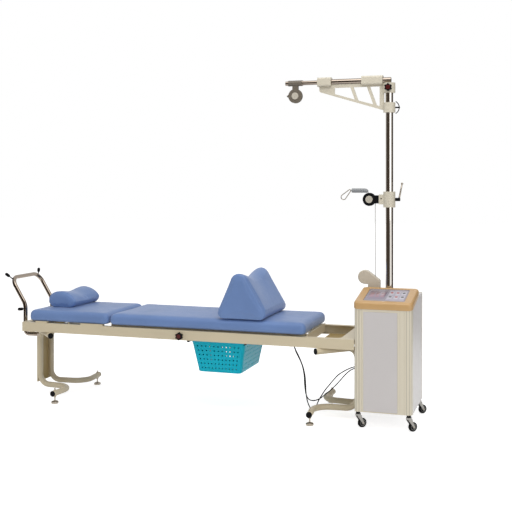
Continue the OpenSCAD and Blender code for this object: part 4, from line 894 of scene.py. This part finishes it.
class TABLE_OT_console(bpy.types.Operator):
    """Makes the console's rounded frame and the keypad sunk in it"""
    bl_idname = "table.console"
    bl_label = "Console"

    def execute(self, context):
        settings = context.scene.table_console
        low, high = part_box("console_bezel")
        cab_low, cab_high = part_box("cabinet_body")
        panel_low, panel_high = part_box("control_panel")
        slope = (cab_high.z - low.z + 0.0003) / (high.y - cab_low.y)
        middle, half = (low + high) / 2, (high - low) / 2
        thick = high.z - low.z - slope * (high.y - cab_low.y)

        def lifted(x, y, h):
            return Vector((middle.x + x, middle.y + y,
                           low.z + slope * (middle.y + y - cab_low.y) + h))

        def ring(inset_x, inset_y, corner, h):
            plan = rounded_outline(half.x - inset_x, half.y - inset_y, corner, 0.0, 8, 6)
            return [lifted(x, y, h) for x, y in plan]

        roll, plan_r = settings.roll, settings.corner
        soft, lip, tray_r, sunk = 0.0025, 0.004, 0.011, 0.007
        rings = [ring(0.010, 0.010, plan_r - 0.010, 0.0), ring(soft, soft, plan_r, 0.0)]
        for sine, cosine in quarter(4):
            inset = soft * (1 - sine)
            rings.append(ring(inset, inset, plan_r, soft * (1 - cosine)))
        for sine, cosine in quarter(10):
            inset = roll * (1 - cosine)
            rings.append(ring(inset, inset, max(plan_r - inset, 0.006),
                              thick - roll * (1 - sine)))
        tray_x = panel_low.x - low.x - 0.0005
        tray_y = high.y - panel_high.y - 0.0005
        for sine, cosine in quarter(6):
            grow = lip * (1 - sine)
            rings.append(ring(tray_x - grow, tray_y - grow, tray_r + grow,
                              thick - lip * (1 - cosine)))
        rings += [ring(tray_x, tray_y, tray_r, thick - sunk),
                  ring(tray_x + 0.02, tray_y + 0.02, 0.002, thick - sunk)]
        bezel = auto_smooth(skin("console_frame", rings, "console_plastic"), 50.0)
        settle(bezel, "frame", "console_bezel")

        def plate(name, x0, x1, y0, y1, bottom, top, corner, finish):
            cx, cy = (x0 + x1) / 2, (y0 + y1) / 2
            hx, hy = (x1 - x0) / 2, (y1 - y0) / 2
            bevel = min(0.0008, (top - bottom) * 0.6)
            stack = []
            for inset, h in ((0.0, bottom), (0.0, top - bevel),
                             (bevel * 0.3, top - bevel * 0.3), (bevel, top)):
                outline = rounded_outline(hx - inset, hy - inset, max(corner - inset, 0.0002),
                                          0.0, 4, 1)
                stack.append([lifted(cx + x, cy + y, h) for x, y in outline])
            return auto_smooth(skin(name, stack, finish))

        # The keypad is one printed sheet: a base, the display's windows and the key fields
        w, d = half.x - tray_x - 0.0006, half.y - tray_y - 0.0006

        def printed(name, x0, x1, y0, y1, bottom, tall, corner, finish):
            """A field of the sheet, placed by shares of its half width and half depth."""
            piece = plate(f"keypad_{name}", x0 * w, x1 * w, y0 * d, y1 * d, bottom,
                          bottom + tall, corner, finish)
            settle(piece, "frame", "control_panel")

        base = thick - 0.0068
        face = base + 0.0028
        top = face + 0.0004
        printed("sheet", -1, 1, -1, 1, base, 0.0030, 0.010, "keypad")
        printed("display", -0.90, -0.05, -0.62, 0.62, face, 0.0008, 0.006, "display")
        printed("key_field", 0.04, 0.94, -0.84, 0.84, face, 0.0006, 0.006, "key_face")
        for i in range(3):
            for j in range(2):
                x, y = 0.20 + 0.30 * i, -0.34 + 0.66 * j
                mark = "key_red" if (i, j) in ((0, 1), (1, 0), (1, 1)) else "key_dark"
                printed(f"key_{i}_{j}", x - 0.105, x + 0.105, y - 0.22, y + 0.26, top, 0.0014,
                        0.003, "key_pale")
                printed(f"mark_{i}_{j}", x - 0.066, x + 0.066, y - 0.01, y + 0.17, top + 0.0010,
                        0.0009, 0.001, mark)
        for k in range(3):
            x = -0.82 + 0.26 * k
            printed(f"window_{k}", x, x + 0.20, -0.34, 0.34, top, 0.0008, 0.002,
                    "display_glass")
        for k in (-1, 1):
            lamp = plate(f"console_lamp_{k + 2}", 0.004 * k - 0.0022, 0.004 * k + 0.0022,
                         -half.y + 0.021, -half.y + 0.0254, thick - 0.0004, thick + 0.0008,
                         0.002, "panel_lamp")
            settle(lamp, "frame")
        return {"FINISHED"}


# Basket


def lattice_tree():
    """Geometry Nodes: every face becomes a frame round an opening, with a wall's thickness.

    Faces whose attribute solid is set stay closed."""
    tree = bpy.data.node_groups.new("Basket lattice", "GeometryNodeTree")

    def socket(name, kind, in_out="INPUT"):
        return tree.interface.new_socket(name, in_out=in_out, socket_type=f"NodeSocket{kind}")

    def node(kind, inputs=(), **settings):
        return add_node(tree, f"GeometryNode{kind}", inputs, **settings)

    def logic(operation, inputs):
        return add_node(tree, "FunctionNodeBooleanMath", inputs, operation=operation).outputs[0]

    socket("Geometry", "Geometry")
    opening = socket("Opening", "Float")
    opening.min_value, opening.max_value = 0.1, 0.95
    socket("Wall", "Float").subtype = "DISTANCE"
    socket("Finish", "Material")
    socket("Geometry", "Geometry", "OUTPUT")
    start = add_node(tree, "NodeGroupInput").outputs
    solid = node("InputNamedAttribute", {"Name": "solid"}, data_type="BOOLEAN")
    frames = node("ExtrudeMesh", {"Mesh": start["Geometry"], "Individual": True,
                                  "Offset Scale": 0.0}, mode="FACES").outputs
    shrunk = node("ScaleElements", {"Geometry": frames["Mesh"], "Selection": frames["Top"],
                                    "Scale": start["Opening"]}, domain="FACE")
    free = logic("NOT", {0: solid.outputs["Attribute"]})
    sheet = node("DeleteGeometry", {"Geometry": shrunk.outputs[0],
                                    "Selection": logic("AND", {0: frames["Top"], 1: free})},
                 domain="FACE", mode="ONLY_FACE").outputs[0]
    outer = node("ExtrudeMesh", {"Mesh": sheet, "Offset Scale": start["Wall"],
                                 "Individual": False}, mode="FACES")
    both = node("JoinGeometry", {0: node("FlipFaces", {"Mesh": sheet}).outputs[0]})
    tree.links.new(outer.outputs["Mesh"], both.inputs[0])
    merged = node("MergeByDistance", {"Geometry": both.outputs[0], "Distance": 0.00001})
    real = node("RealizeInstances", {0: merged.outputs[0]})
    paint = node("SetMaterial", {"Geometry": real.outputs[0], "Material": start["Finish"]})
    add_node(tree, "NodeGroupOutput", {0: paint.outputs[0]})
    return tree


def run_nodes(piece, tree, values):
    """Runs a node tree on a piece and keeps the result as its plain mesh."""
    modifier = piece.modifiers.new(tree.name, "NODES")
    modifier.node_group = tree
    for item in tree.interface.items_tree:
        if item.item_type == "SOCKET" and item.in_out == "INPUT" and item.name in values:
            modifier[item.identifier] = values[item.name]
    return finish_modifiers(piece)


class TABLE_OT_basket(bpy.types.Operator):
    """Makes the lattice basket under the table"""
    bl_idname = "table.basket"
    bl_label = "Basket"

    def execute(self, context):
        settings = context.scene.table_basket
        low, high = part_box("basket")
        middle, half = (low + high) / 2, (high - low) / 2
        lip, wall = settings.lip, settings.wall
        top_x, top_y = half.x - lip, half.y - 0.2 * lip
        floor_x = top_x - settings.taper
        floor_y = top_y - settings.taper * settings.side_taper
        across, along = settings.columns, settings.columns + 2
        r = 0.022

        def outline(share, grow=0.0):
            """Points round the basket at a share of its height, with even columns per side."""
            hx = floor_x + (top_x - floor_x) * share + grow
            hy = floor_y + (top_y - floor_y) * share + grow
            points = []
            for turn, (count, (x0, y0), (x1, y1), sx, sy) in enumerate((
                    (across, (r - hx, -hy), (hx - r, -hy), 1, -1),
                    (along, (hx, r - hy), (hx, hy - r), 1, 1),
                    (across, (hx - r, hy), (r - hx, hy), -1, 1),
                    (along, (-hx, hy - r), (-hx, r - hy), -1, -1))):
                points += [(x0 + (x1 - x0) * k / count, y0 + (y1 - y0) * k / count)
                           for k in range(count + 1)]
                for k in (1, 2):
                    a = math.radians(90.0 * (turn - 1) + 30.0 * k)
                    points.append((sx * (hx - r) + r * math.cos(a),
                                   sy * (hy - r) + r * math.sin(a)))
            return points

        def ring(share, grow=0.0):
            return [Vector((middle.x + x, middle.y + y, low.z + 2 * half.z * share))
                    for x, y in outline(share, grow)]

        # The walls: rows of faces, those in the corners closed
        low_share, high_share, rows = settings.foot_band, 1.0 - settings.rim_band, settings.rows
        rings = [ring(low_share + (high_share - low_share) * k / rows, -wall)
                 for k in range(rows + 1)]
        verts, faces = loft(rings, False)
        row = []
        for count in (across, along) * 2:
            row += [False] * count + [True] * 3
        lattice = new_piece("basket_lattice", verts, faces, "basket_plastic", False)
        marks = lattice.data.attributes.new("solid", "BOOLEAN", "FACE")
        marks.data.foreach_set("value", row * rows)

        # The floor: a flat lattice of its own
        hx, hy = floor_x - 0.012, floor_y - 0.012
        grid_x, grid_y = 13, 17
        points = [(middle.x - hx + 2 * hx * i / grid_x, middle.y - hy + 2 * hy * j / grid_y,
                   low.z + 0.0006) for j in range(grid_y + 1) for i in range(grid_x + 1)]
        wide = grid_x + 1
        faces = [(j * wide + i, j * wide + i + 1, (j + 1) * wide + i + 1, (j + 1) * wide + i)
                 for j in range(grid_y) for i in range(grid_x)]
        floor = new_piece("basket_floor", points, faces, "basket_plastic", False)
        tree = lattice_tree()
        for piece in (lattice, floor):
            run_nodes(piece, tree, {"Opening": settings.opening, "Wall": wall,
                                    "Finish": FINISHES["basket_plastic"]})

        # Solid bands: the foot with its rounded edge, and the rolled rim
        foot = ((0.0, -0.030), (0.0, -0.006), (0.008, -0.002), (0.022, 0.0),
                (low_share + 0.006, 0.0), (low_share + 0.006, -wall), (0.03, -wall),
                (0.022, -0.008), (0.022, -0.030))
        rim = ((high_share - 0.006, -wall), (high_share - 0.006, 0.0), (0.955, 0.0),
               (0.965, 0.003), (0.968, lip - 0.002), (0.974, lip), (0.993, lip),
               (1.0, lip - 0.002), (1.0, -0.001), (0.994, -wall))
        bands = [auto_smooth(skin(name, [ring(*at_share) for at_share in profile],
                                  "basket_plastic", True), 50.0)
                 for name, profile in (("basket_foot", foot), ("basket_rim", rim))]
        for piece in (lattice, floor, *bands):
            settle(piece, "basket_tray", "basket")
        return {"FINISHED"}


# Turned pieces: each profile is a row of radius and height pairs

TYRE_PROFILE = ((0.66, -0.80), (0.66, -0.92), (0.72, -1.0), (0.90, -0.92), (0.97, -0.62),
                (1.0, -0.25), (1.0, 0.25), (0.97, 0.62), (0.90, 0.92), (0.72, 1.0),
                (0.66, 0.92), (0.66, 0.80))
HUB_PROFILE = ((0.0, -1.0), (0.16, -1.0), (0.18, -0.92), (0.24, -0.92), (0.27, -0.74),
               (0.52, -0.66), (0.58, -0.92), (0.655, -0.95), (0.665, -0.88), (0.665, 0.88),
               (0.655, 0.95), (0.58, 0.92), (0.52, 0.66), (0.27, 0.74), (0.24, 0.92),
               (0.18, 0.92), (0.16, 1.0), (0.0, 1.0))
NUT_PROFILE = ((0.0, -0.005), (0.0045, -0.005), (0.0045, 0.0006), (0.0040, 0.0018),
               (0.0, 0.0020))
DISC_PROFILE = ((0.0, -0.0018), (0.0150, -0.0018), (0.0150, -0.0002), (0.0142, 0.0006),
                (0.0, 0.0009))
SPINDLE_PROFILE = ((0.0, 0.0), (0.005, 0.0), (0.005, 0.0460), (0.0, 0.0460))
LEVER_HUB_PROFILE = ((0.0, 0.0), (0.0102, 0.0), (0.0112, 0.0010), (0.0112, 0.0300),
                     (0.0100, 0.0318), (0.0, 0.0318))
BALL_PROFILE = [(0.0078 * math.sin(math.pi * k / 12), -0.0078 * math.cos(math.pi * k / 12))
                for k in range(13)]
SCREW_PROFILE = ((0.0, -0.001), (0.0048, -0.001), (0.0048, 0.0016), (0.0042, 0.0022),
                 (0.0026, 0.0022), (0.0024, 0.0006), (0.0, 0.0006))
# Half the width of a caster's wheel, how far its nuts lie from its middle, and its axle's turn
WHEEL_HALF = 0.011
NUT_OUT = 0.0158
CASTER_TURN = math.radians(45.0)
# The rope end's sleeve: along from the wheel's axis, up from the rope's line, and radius
SLEEVE_SHAPE = ((-0.1200, 0.0, 0.0118), (-0.1185, 0.0, 0.0142), (-0.1150, 0.0, 0.0149),
                (-0.0700, 0.0, 0.0149), (-0.0300, 0.0, 0.0146), (-0.0220, -0.0015, 0.0136),
                (-0.0145, -0.0048, 0.0108), (-0.0090, -0.0080, 0.0070))
X_WAY, NEAR_WAY, UP_WAY = Vector((1, 0, 0)), Vector((0, -1, 0)), Vector((0, 0, 1))


class TABLE_OT_casters(bpy.types.Operator):
    """Makes the casters' tyres, hubs and nuts"""
    bl_idname = "table.casters"
    bl_label = "Casters"

    def execute(self, context):
        axle = Vector((-math.sin(CASTER_TURN), math.cos(CASTER_TURN), 0.0))
        for i, node in enumerate(numbered("caster_wheel", 4), 1):
            low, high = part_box(node)
            centre, radius = (low + high) / 2, (high.z - low.z) / 2
            pieces = [turned(f"caster_{name}_{i}", centre, axle,
                             [(r * radius, h * WHEEL_HALF) for r, h in profile], finish)
                      for name, profile, finish in (("tyre", TYRE_PROFILE, "tyre_rubber"),
                                                    ("hub", HUB_PROFILE, "wheel_hub"))]
            pieces += [turned(f"caster_nut_{i}_{side + 2}", centre + axle * side * NUT_OUT,
                              axle * side, NUT_PROFILE, "zinc_plate", 6) for side in (-1, 1)]
            for piece in pieces:
                settle(piece, f"wheel_{i}", node)
        return {"FINISHED"}


class TABLE_OT_knobs(bpy.types.Operator):
    """Makes the star knobs' red discs"""
    bl_idname = "table.knobs"
    bl_label = "Knob discs"

    def execute(self, context):
        for node, body in (("rail_knob", "knob"), ("arm_knob", "knob_up")):
            low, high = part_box(node)
            centre = Vector(((low.x + high.x) / 2, low.y, (low.z + high.z) / 2))
            disc = turned(f"{node}_disc", centre, NEAR_WAY, DISC_PROFILE, "knob_disc")
            settle(disc, body)
        return {"FINISHED"}


class TABLE_OT_clamp_trim(bpy.types.Operator):
    """Makes the clamp's lever and screw, the rope and the sleeve on its end"""
    bl_idname = "table.clamp_trim"
    bl_label = "Clamp trim"

    def execute(self, context):
        low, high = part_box("mid_clamp")
        middle = Vector((high.x - 0.040, (low.y + high.y) / 2, (low.z + high.z) / 2))
        spindle = turned("lever_spindle", middle + X_WAY * 0.0260, X_WAY, SPINDLE_PROFILE,
                         "zinc_plate", 24)
        hub = turned("lever_hub", middle + X_WAY * 0.0404, X_WAY, LEVER_HUB_PROFILE,
                     "black_plastic")
        foot, tip = middle + X_WAY * 0.0645, middle + Vector((0.085, 0.0, 0.105))
        rod = tube("lever_rod", [foot.lerp(tip, t) for t in (0.0, 0.5, 1.0)],
                   [0.0062, 0.0055, 0.0048], "zinc_plate", 20)
        ball = turned("lever_ball", tip, tip - foot, BALL_PROFILE, "zinc_plate", 28)
        for piece in (spindle, hub, rod, ball):
            settle(piece, "lever", "clamp_lever")
        screw = turned("clamp_screw", middle + Vector((-0.052, -0.0180, 0.006)), NEAR_WAY,
                       SCREW_PROFILE, "zinc_plate", 24)
        settle(screw, "clamp")
        self.rope_end()
        self.rope_run()
        return {"FINISHED"}

    def rope_end(self):
        """The grey sleeve that tapers onto the pulley, with its rope and its eye."""
        pulley_low, pulley_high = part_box("lower_pulley")
        wheel, high = (pulley_low + pulley_high) / 2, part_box("rope_end")[1]
        groove = high.x - wheel.x - 0.002
        top = high.z - 0.014
        eye_r = 0.006

        def spot(x, z):
            return Vector((wheel.x + x, wheel.y, z))

        sleeve = tube("rope_sleeve", [spot(x, top + z) for x, z, r in SLEEVE_SHAPE],
                      [r for x, z, r in SLEEVE_SHAPE], "grey_plastic", 28)
        arc = [spot(groove * cosine, wheel.z + groove * sine) for sine, cosine in quarter(14)]
        rope = tube("rope_over_pulley",
                    arc + [spot(-0.006, top - 0.0155), spot(-0.011, top - 0.0075)], 0.002,
                    "braided_rope")
        loop = circle(spot(SLEEVE_SHAPE[0][0] - eye_r + 0.001, top), X_WAY, -NEAR_WAY, eye_r, 28)
        eye = tube("rope_eye", loop, 0.00125, "zinc_plate", 10, True)
        for piece in (auto_smooth(sleeve), rope, eye):
            settle(piece, "clamp", "rope_end")

    def rope_run(self):
        """The rope's upright run: a tube from the foot to the head of the rope's solid, in its
        place.
        """
        low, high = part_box("rope")
        axis = (low + high) / 2
        foot, head = (Vector((axis.x, axis.y, z)) for z in (low.z, high.z))
        run = tube("rope_run", [foot, head], (high.x - low.x) / 2, "braided_rope")
        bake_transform(run)
        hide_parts("rope")


# Rope guide


def inset_outline(outline, inset):
    """A closed outline moved inwards by a distance, corner by corner."""
    out = []
    for i, (x, z) in enumerate(outline):
        ax, az = outline[i - 1]
        bx, bz = outline[(i + 1) % len(outline)]
        one = Vector((x - ax, z - az)).normalized()
        two = Vector((bx - x, bz - z)).normalized()
        first = Vector((-one.y, one.x))
        side = (first + Vector((-two.y, two.x))).normalized()
        reach = inset / max(0.35, side.dot(first))
        out.append((x + side.x * reach, z + side.y * reach))
    return out


class TABLE_OT_rope_guide(bpy.types.Operator):
    """Makes the moulded cover that the rope comes out of"""
    bl_idname = "table.rope_guide"
    bl_label = "Rope guide"

    def execute(self, context):
        settings = context.scene.table_guide
        low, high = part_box("rope_guide")
        rope_low, rope_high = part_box("rope")
        big, small, roll = settings.big_radius, settings.small_radius, settings.roll
        a = Vector((low.x + big, high.z - big))
        b = Vector((high.x - small, a.y - 0.65 * big))
        lean = math.atan2(b.y - a.y, b.x - a.x)
        spread = math.acos((big - small) / (b - a).length)
        left_x = high.x - 1.74 * big

        def on_round(centre, radius, angle):
            return centre.x + radius * math.cos(angle), centre.y + radius * math.sin(angle)

        steps = 26
        outline = [on_round(a, big, lean + spread + (math.tau - 2 * spread) * k / steps)
                   for k in range(steps + 1)]
        start, end = outline[-1], on_round(b, small, lean - spread)
        share = (left_x - start[0]) / (end[0] - start[0])
        outline += [(left_x, start[1] + (end[1] - start[1]) * share), (left_x, low.z),
                    (high.x, low.z)]
        outline += [on_round(b, small, (lean + spread) * k / 8) for k in range(9)]
        rings = []
        for side, y in ((1, low.y), (-1, high.y)):
            stack = [[Vector((x, y + side * roll * (1 - sine), z))
                      for x, z in inset_outline(outline, roll * (1 - cosine))]
                     for sine, cosine in quarter(5)]
            rings += reversed(stack) if side > 0 else stack
        cover = skin("rope_guide_cover", rings, "ivory")
        wall = cover.modifiers.new("wall", "SOLIDIFY")
        wall.thickness = 0.003
        wall.offset = -1.0
        finish_modifiers(cover)
        hole_at = (rope_low + rope_high) / 2
        drill = turned("rope_hole", Vector((hole_at.x, hole_at.y, a.y)), UP_WAY,
                       ((0.0068, -0.02), (0.0068, 0.10)), "ivory", 32)
        hole = cover.modifiers.new("rope hole", "BOOLEAN")
        hole.object = drill
        hole.operation = "DIFFERENCE"
        finish_modifiers(cover)
        bpy.data.objects.remove(drill)
        settle(auto_smooth(cover, 38.0), "frame", "rope_guide")
        return {"FINISHED"}


# Finishes of the frame's own parts
class TABLE_OT_finishes(bpy.types.Operator):
    """Makes the materials and puts them on the frame's own parts"""
    bl_idname = "table.finishes"
    bl_label = "Finishes"

    def execute(self, context):
        make_finishes(context.scene)
        for finish, nodes in DRESS.items():
            for node in nodes:
                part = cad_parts[node]
                for slot in part.material_slots:
                    slot.link = "OBJECT"
                    slot.material = FINISHES[finish]
        return {"FINISHED"}


# Stage

# The dark screens: their distance from the middle, their heights, and the arcs they cover
FLAG_RADIUS = 3.8
FLAG_HEIGHTS = (0.02, 4.4)
FLAG_ARCS = ((-194.0, -46.0), (-4.0, 56.0))
FLOOR_HALF = 30
# Each lamp: name, place, side, goal, and the setting and share of it that give its power
LAMPS = (("overhead", (1.2, -1.6, 4.4), 3.2, (0.1, 0.0, 0.6), "key_power", 1.0),
         ("beside_camera", (3.8, -4.2, 2.2), 2.2, (0.4, 0.0, 0.9), "fill_power", 1.0),
         ("head_side", (-4.0, -2.6, 2.4), 2.2, (0.0, 0.0, 0.8), "fill_power", 0.6))


class TABLE_OT_stage(bpy.types.Operator):
    """Makes the pale floor, the backdrop and the studio light"""
    bl_idname = "table.stage"
    bl_label = "Stage"

    def seen(self, tree):
        """One where the camera, a mirror or glass looks at the surface, else nothing."""
        rays = add_node(tree, "ShaderNodeLightPath")
        total = rays.outputs["Is Camera Ray"]
        for kind in ("Is Glossy Ray", "Is Transmission Ray"):
            total = add_node(tree, "ShaderNodeMath", {0: total, 1: rays.outputs[kind]},
                             operation="MAXIMUM").outputs[0]
        return total

    def bare(self, name, verts, faces):
        """A stage piece and its own new material."""
        piece = new_piece(name, verts, faces, "ivory", False)
        material = bpy.data.materials.new(name)
        material.use_nodes = True
        piece.data.materials.clear()
        piece.data.materials.append(material)
        return piece, material.node_tree

    def flags(self, settings):
        """Dark curved screens that only reflections see, which give bright tubes their stripes."""
        steps = 24
        for number, (start, end) in enumerate(FLAG_ARCS, 1):
            verts = []
            for k in range(steps + 1):
                a = math.radians(start + (end - start) * k / steps)
                verts += [(FLAG_RADIUS * math.cos(a), FLAG_RADIUS * math.sin(a), z)
                          for z in FLAG_HEIGHTS]
            faces = [(2 * k, 2 * k + 2, 2 * k + 3, 2 * k + 1) for k in range(steps)]
            flag, tree = self.bare(f"studio_flag_{number}", verts, faces)
            tree.nodes.clear()
            shade = add_node(tree, "ShaderNodeEmission", {"Color": opaque(settings.flag_tint),
                                                          "Strength": 1.0})
            add_node(tree, "ShaderNodeOutputMaterial", {"Surface": shade.outputs[0]})
            flag.visible_camera = flag.visible_diffuse = False
            flag.visible_shadow = flag.visible_transmission = False

    def floor(self, settings):
        """White paper that the camera sees glow, and that still takes shadows."""
        h = FLOOR_HALF
        tree = self.bare("studio_floor", [(-h, -h, 0), (h, -h, 0), (h, h, 0), (-h, h, 0)],
                         [(0, 1, 2, 3)])[1]
        sheet = tree.nodes["Principled BSDF"]
        for key, value in (("Base Color", (0.86, 0.86, 0.86, 1)), ("Roughness", 0.9),
                           ("Specular IOR Level", 0.0)):
            sheet.inputs[key].default_value = value
        glow = add_node(tree, "ShaderNodeEmission", {"Strength": settings.paper_glow})
        none = add_node(tree, "ShaderNodeEmission", {"Strength": 0.0})
        lift = add_node(tree, "ShaderNodeMixShader", {0: self.seen(tree), 1: none.outputs[0],
                                                      2: glow.outputs[0]})
        both = add_node(tree, "ShaderNodeAddShader", {0: sheet.outputs[0], 1: lift.outputs[0]})
        tree.links.new(both.outputs[0], tree.nodes["Material Output"].inputs["Surface"])

    def execute(self, context):
        settings, scene = context.scene.table_stage, context.scene
        self.floor(settings)
        self.flags(settings)

        scene.world = bpy.data.worlds.new("studio_sky")
        scene.world.use_nodes = True
        tree = scene.world.node_tree
        tree.nodes.clear()
        lit, white = (add_node(tree, "ShaderNodeBackground", {"Color": (1, 1, 1, 1),
                                                              "Strength": strength})
                      for strength in (settings.sky, 1.0))
        mix = add_node(tree, "ShaderNodeMixShader", {0: self.seen(tree), 1: lit.outputs[0],
                                                     2: white.outputs[0]})
        add_node(tree, "ShaderNodeOutputWorld", {"Surface": mix.outputs[0]})

        for name, spot, size, goal, setting, share in LAMPS:
            lamp = bpy.data.lights.new(name, "AREA")
            lamp.energy = getattr(settings, setting) * share
            lamp.size = size
            holder = bpy.data.objects.new(name, lamp)
            holder.location = spot
            aim = Vector(goal) - Vector(spot)
            holder.rotation_euler = aim.to_track_quat("-Z", "Y").to_euler()
            scene.collection.objects.link(holder)
        scene.view_settings.view_transform = "Standard"
        return {"FINISHED"}


class TABLE_PT_panel(bpy.types.Panel):
    """Lists the settings and the steps"""
    bl_idname = "TABLE_PT_panel"
    bl_label = "Traction Table"
    bl_space_type = "VIEW_3D"
    bl_region_type = "UI"
    bl_category = "Traction Table"

    def draw(self, context):
        scene = context.scene
        for group, names in SHOWN.items():
            box = self.layout.box()
            for name in names:
                box.prop(getattr(scene, group), name)
        for step in STEPS:
            self.layout.operator(step.bl_idname)


STEPS = (TABLE_OT_finishes, TABLE_OT_camera, TABLE_OT_cables, TABLE_OT_cushions,
         TABLE_OT_supports, TABLE_OT_console, TABLE_OT_basket, TABLE_OT_casters,
         TABLE_OT_knobs, TABLE_OT_clamp_trim, TABLE_OT_rope_guide, TABLE_OT_stage)
GROUPS = {"table_upholstery": UpholsterySettings, "table_metal": MetalSettings,
          "table_plastic": PlasticSettings, "table_console": ConsoleSettings,
          "table_basket": BasketSettings, "table_cables": CableSettings,
          "table_guide": GuideSettings, "table_stage": StageSettings}
SHOWN = {name: tuple(group.__annotations__) for name, group in GROUPS.items()}
CLASSES = tuple(GROUPS.values()) + STEPS + (TABLE_PT_panel,)


def register():
    for cls in CLASSES:
        bpy.utils.register_class(cls)
    for name, group in GROUPS.items():
        setattr(bpy.types.Scene, name, PointerProperty(type=group))


def unregister():
    for name in GROUPS:
        delattr(bpy.types.Scene, name)
    for cls in reversed(CLASSES):
        bpy.utils.unregister_class(cls)


def main():
    register()
    for step in STEPS:
        group, name = step.bl_idname.split(".")
        getattr(getattr(bpy.ops, group), name)()


if __name__ == "__main__":
    main()
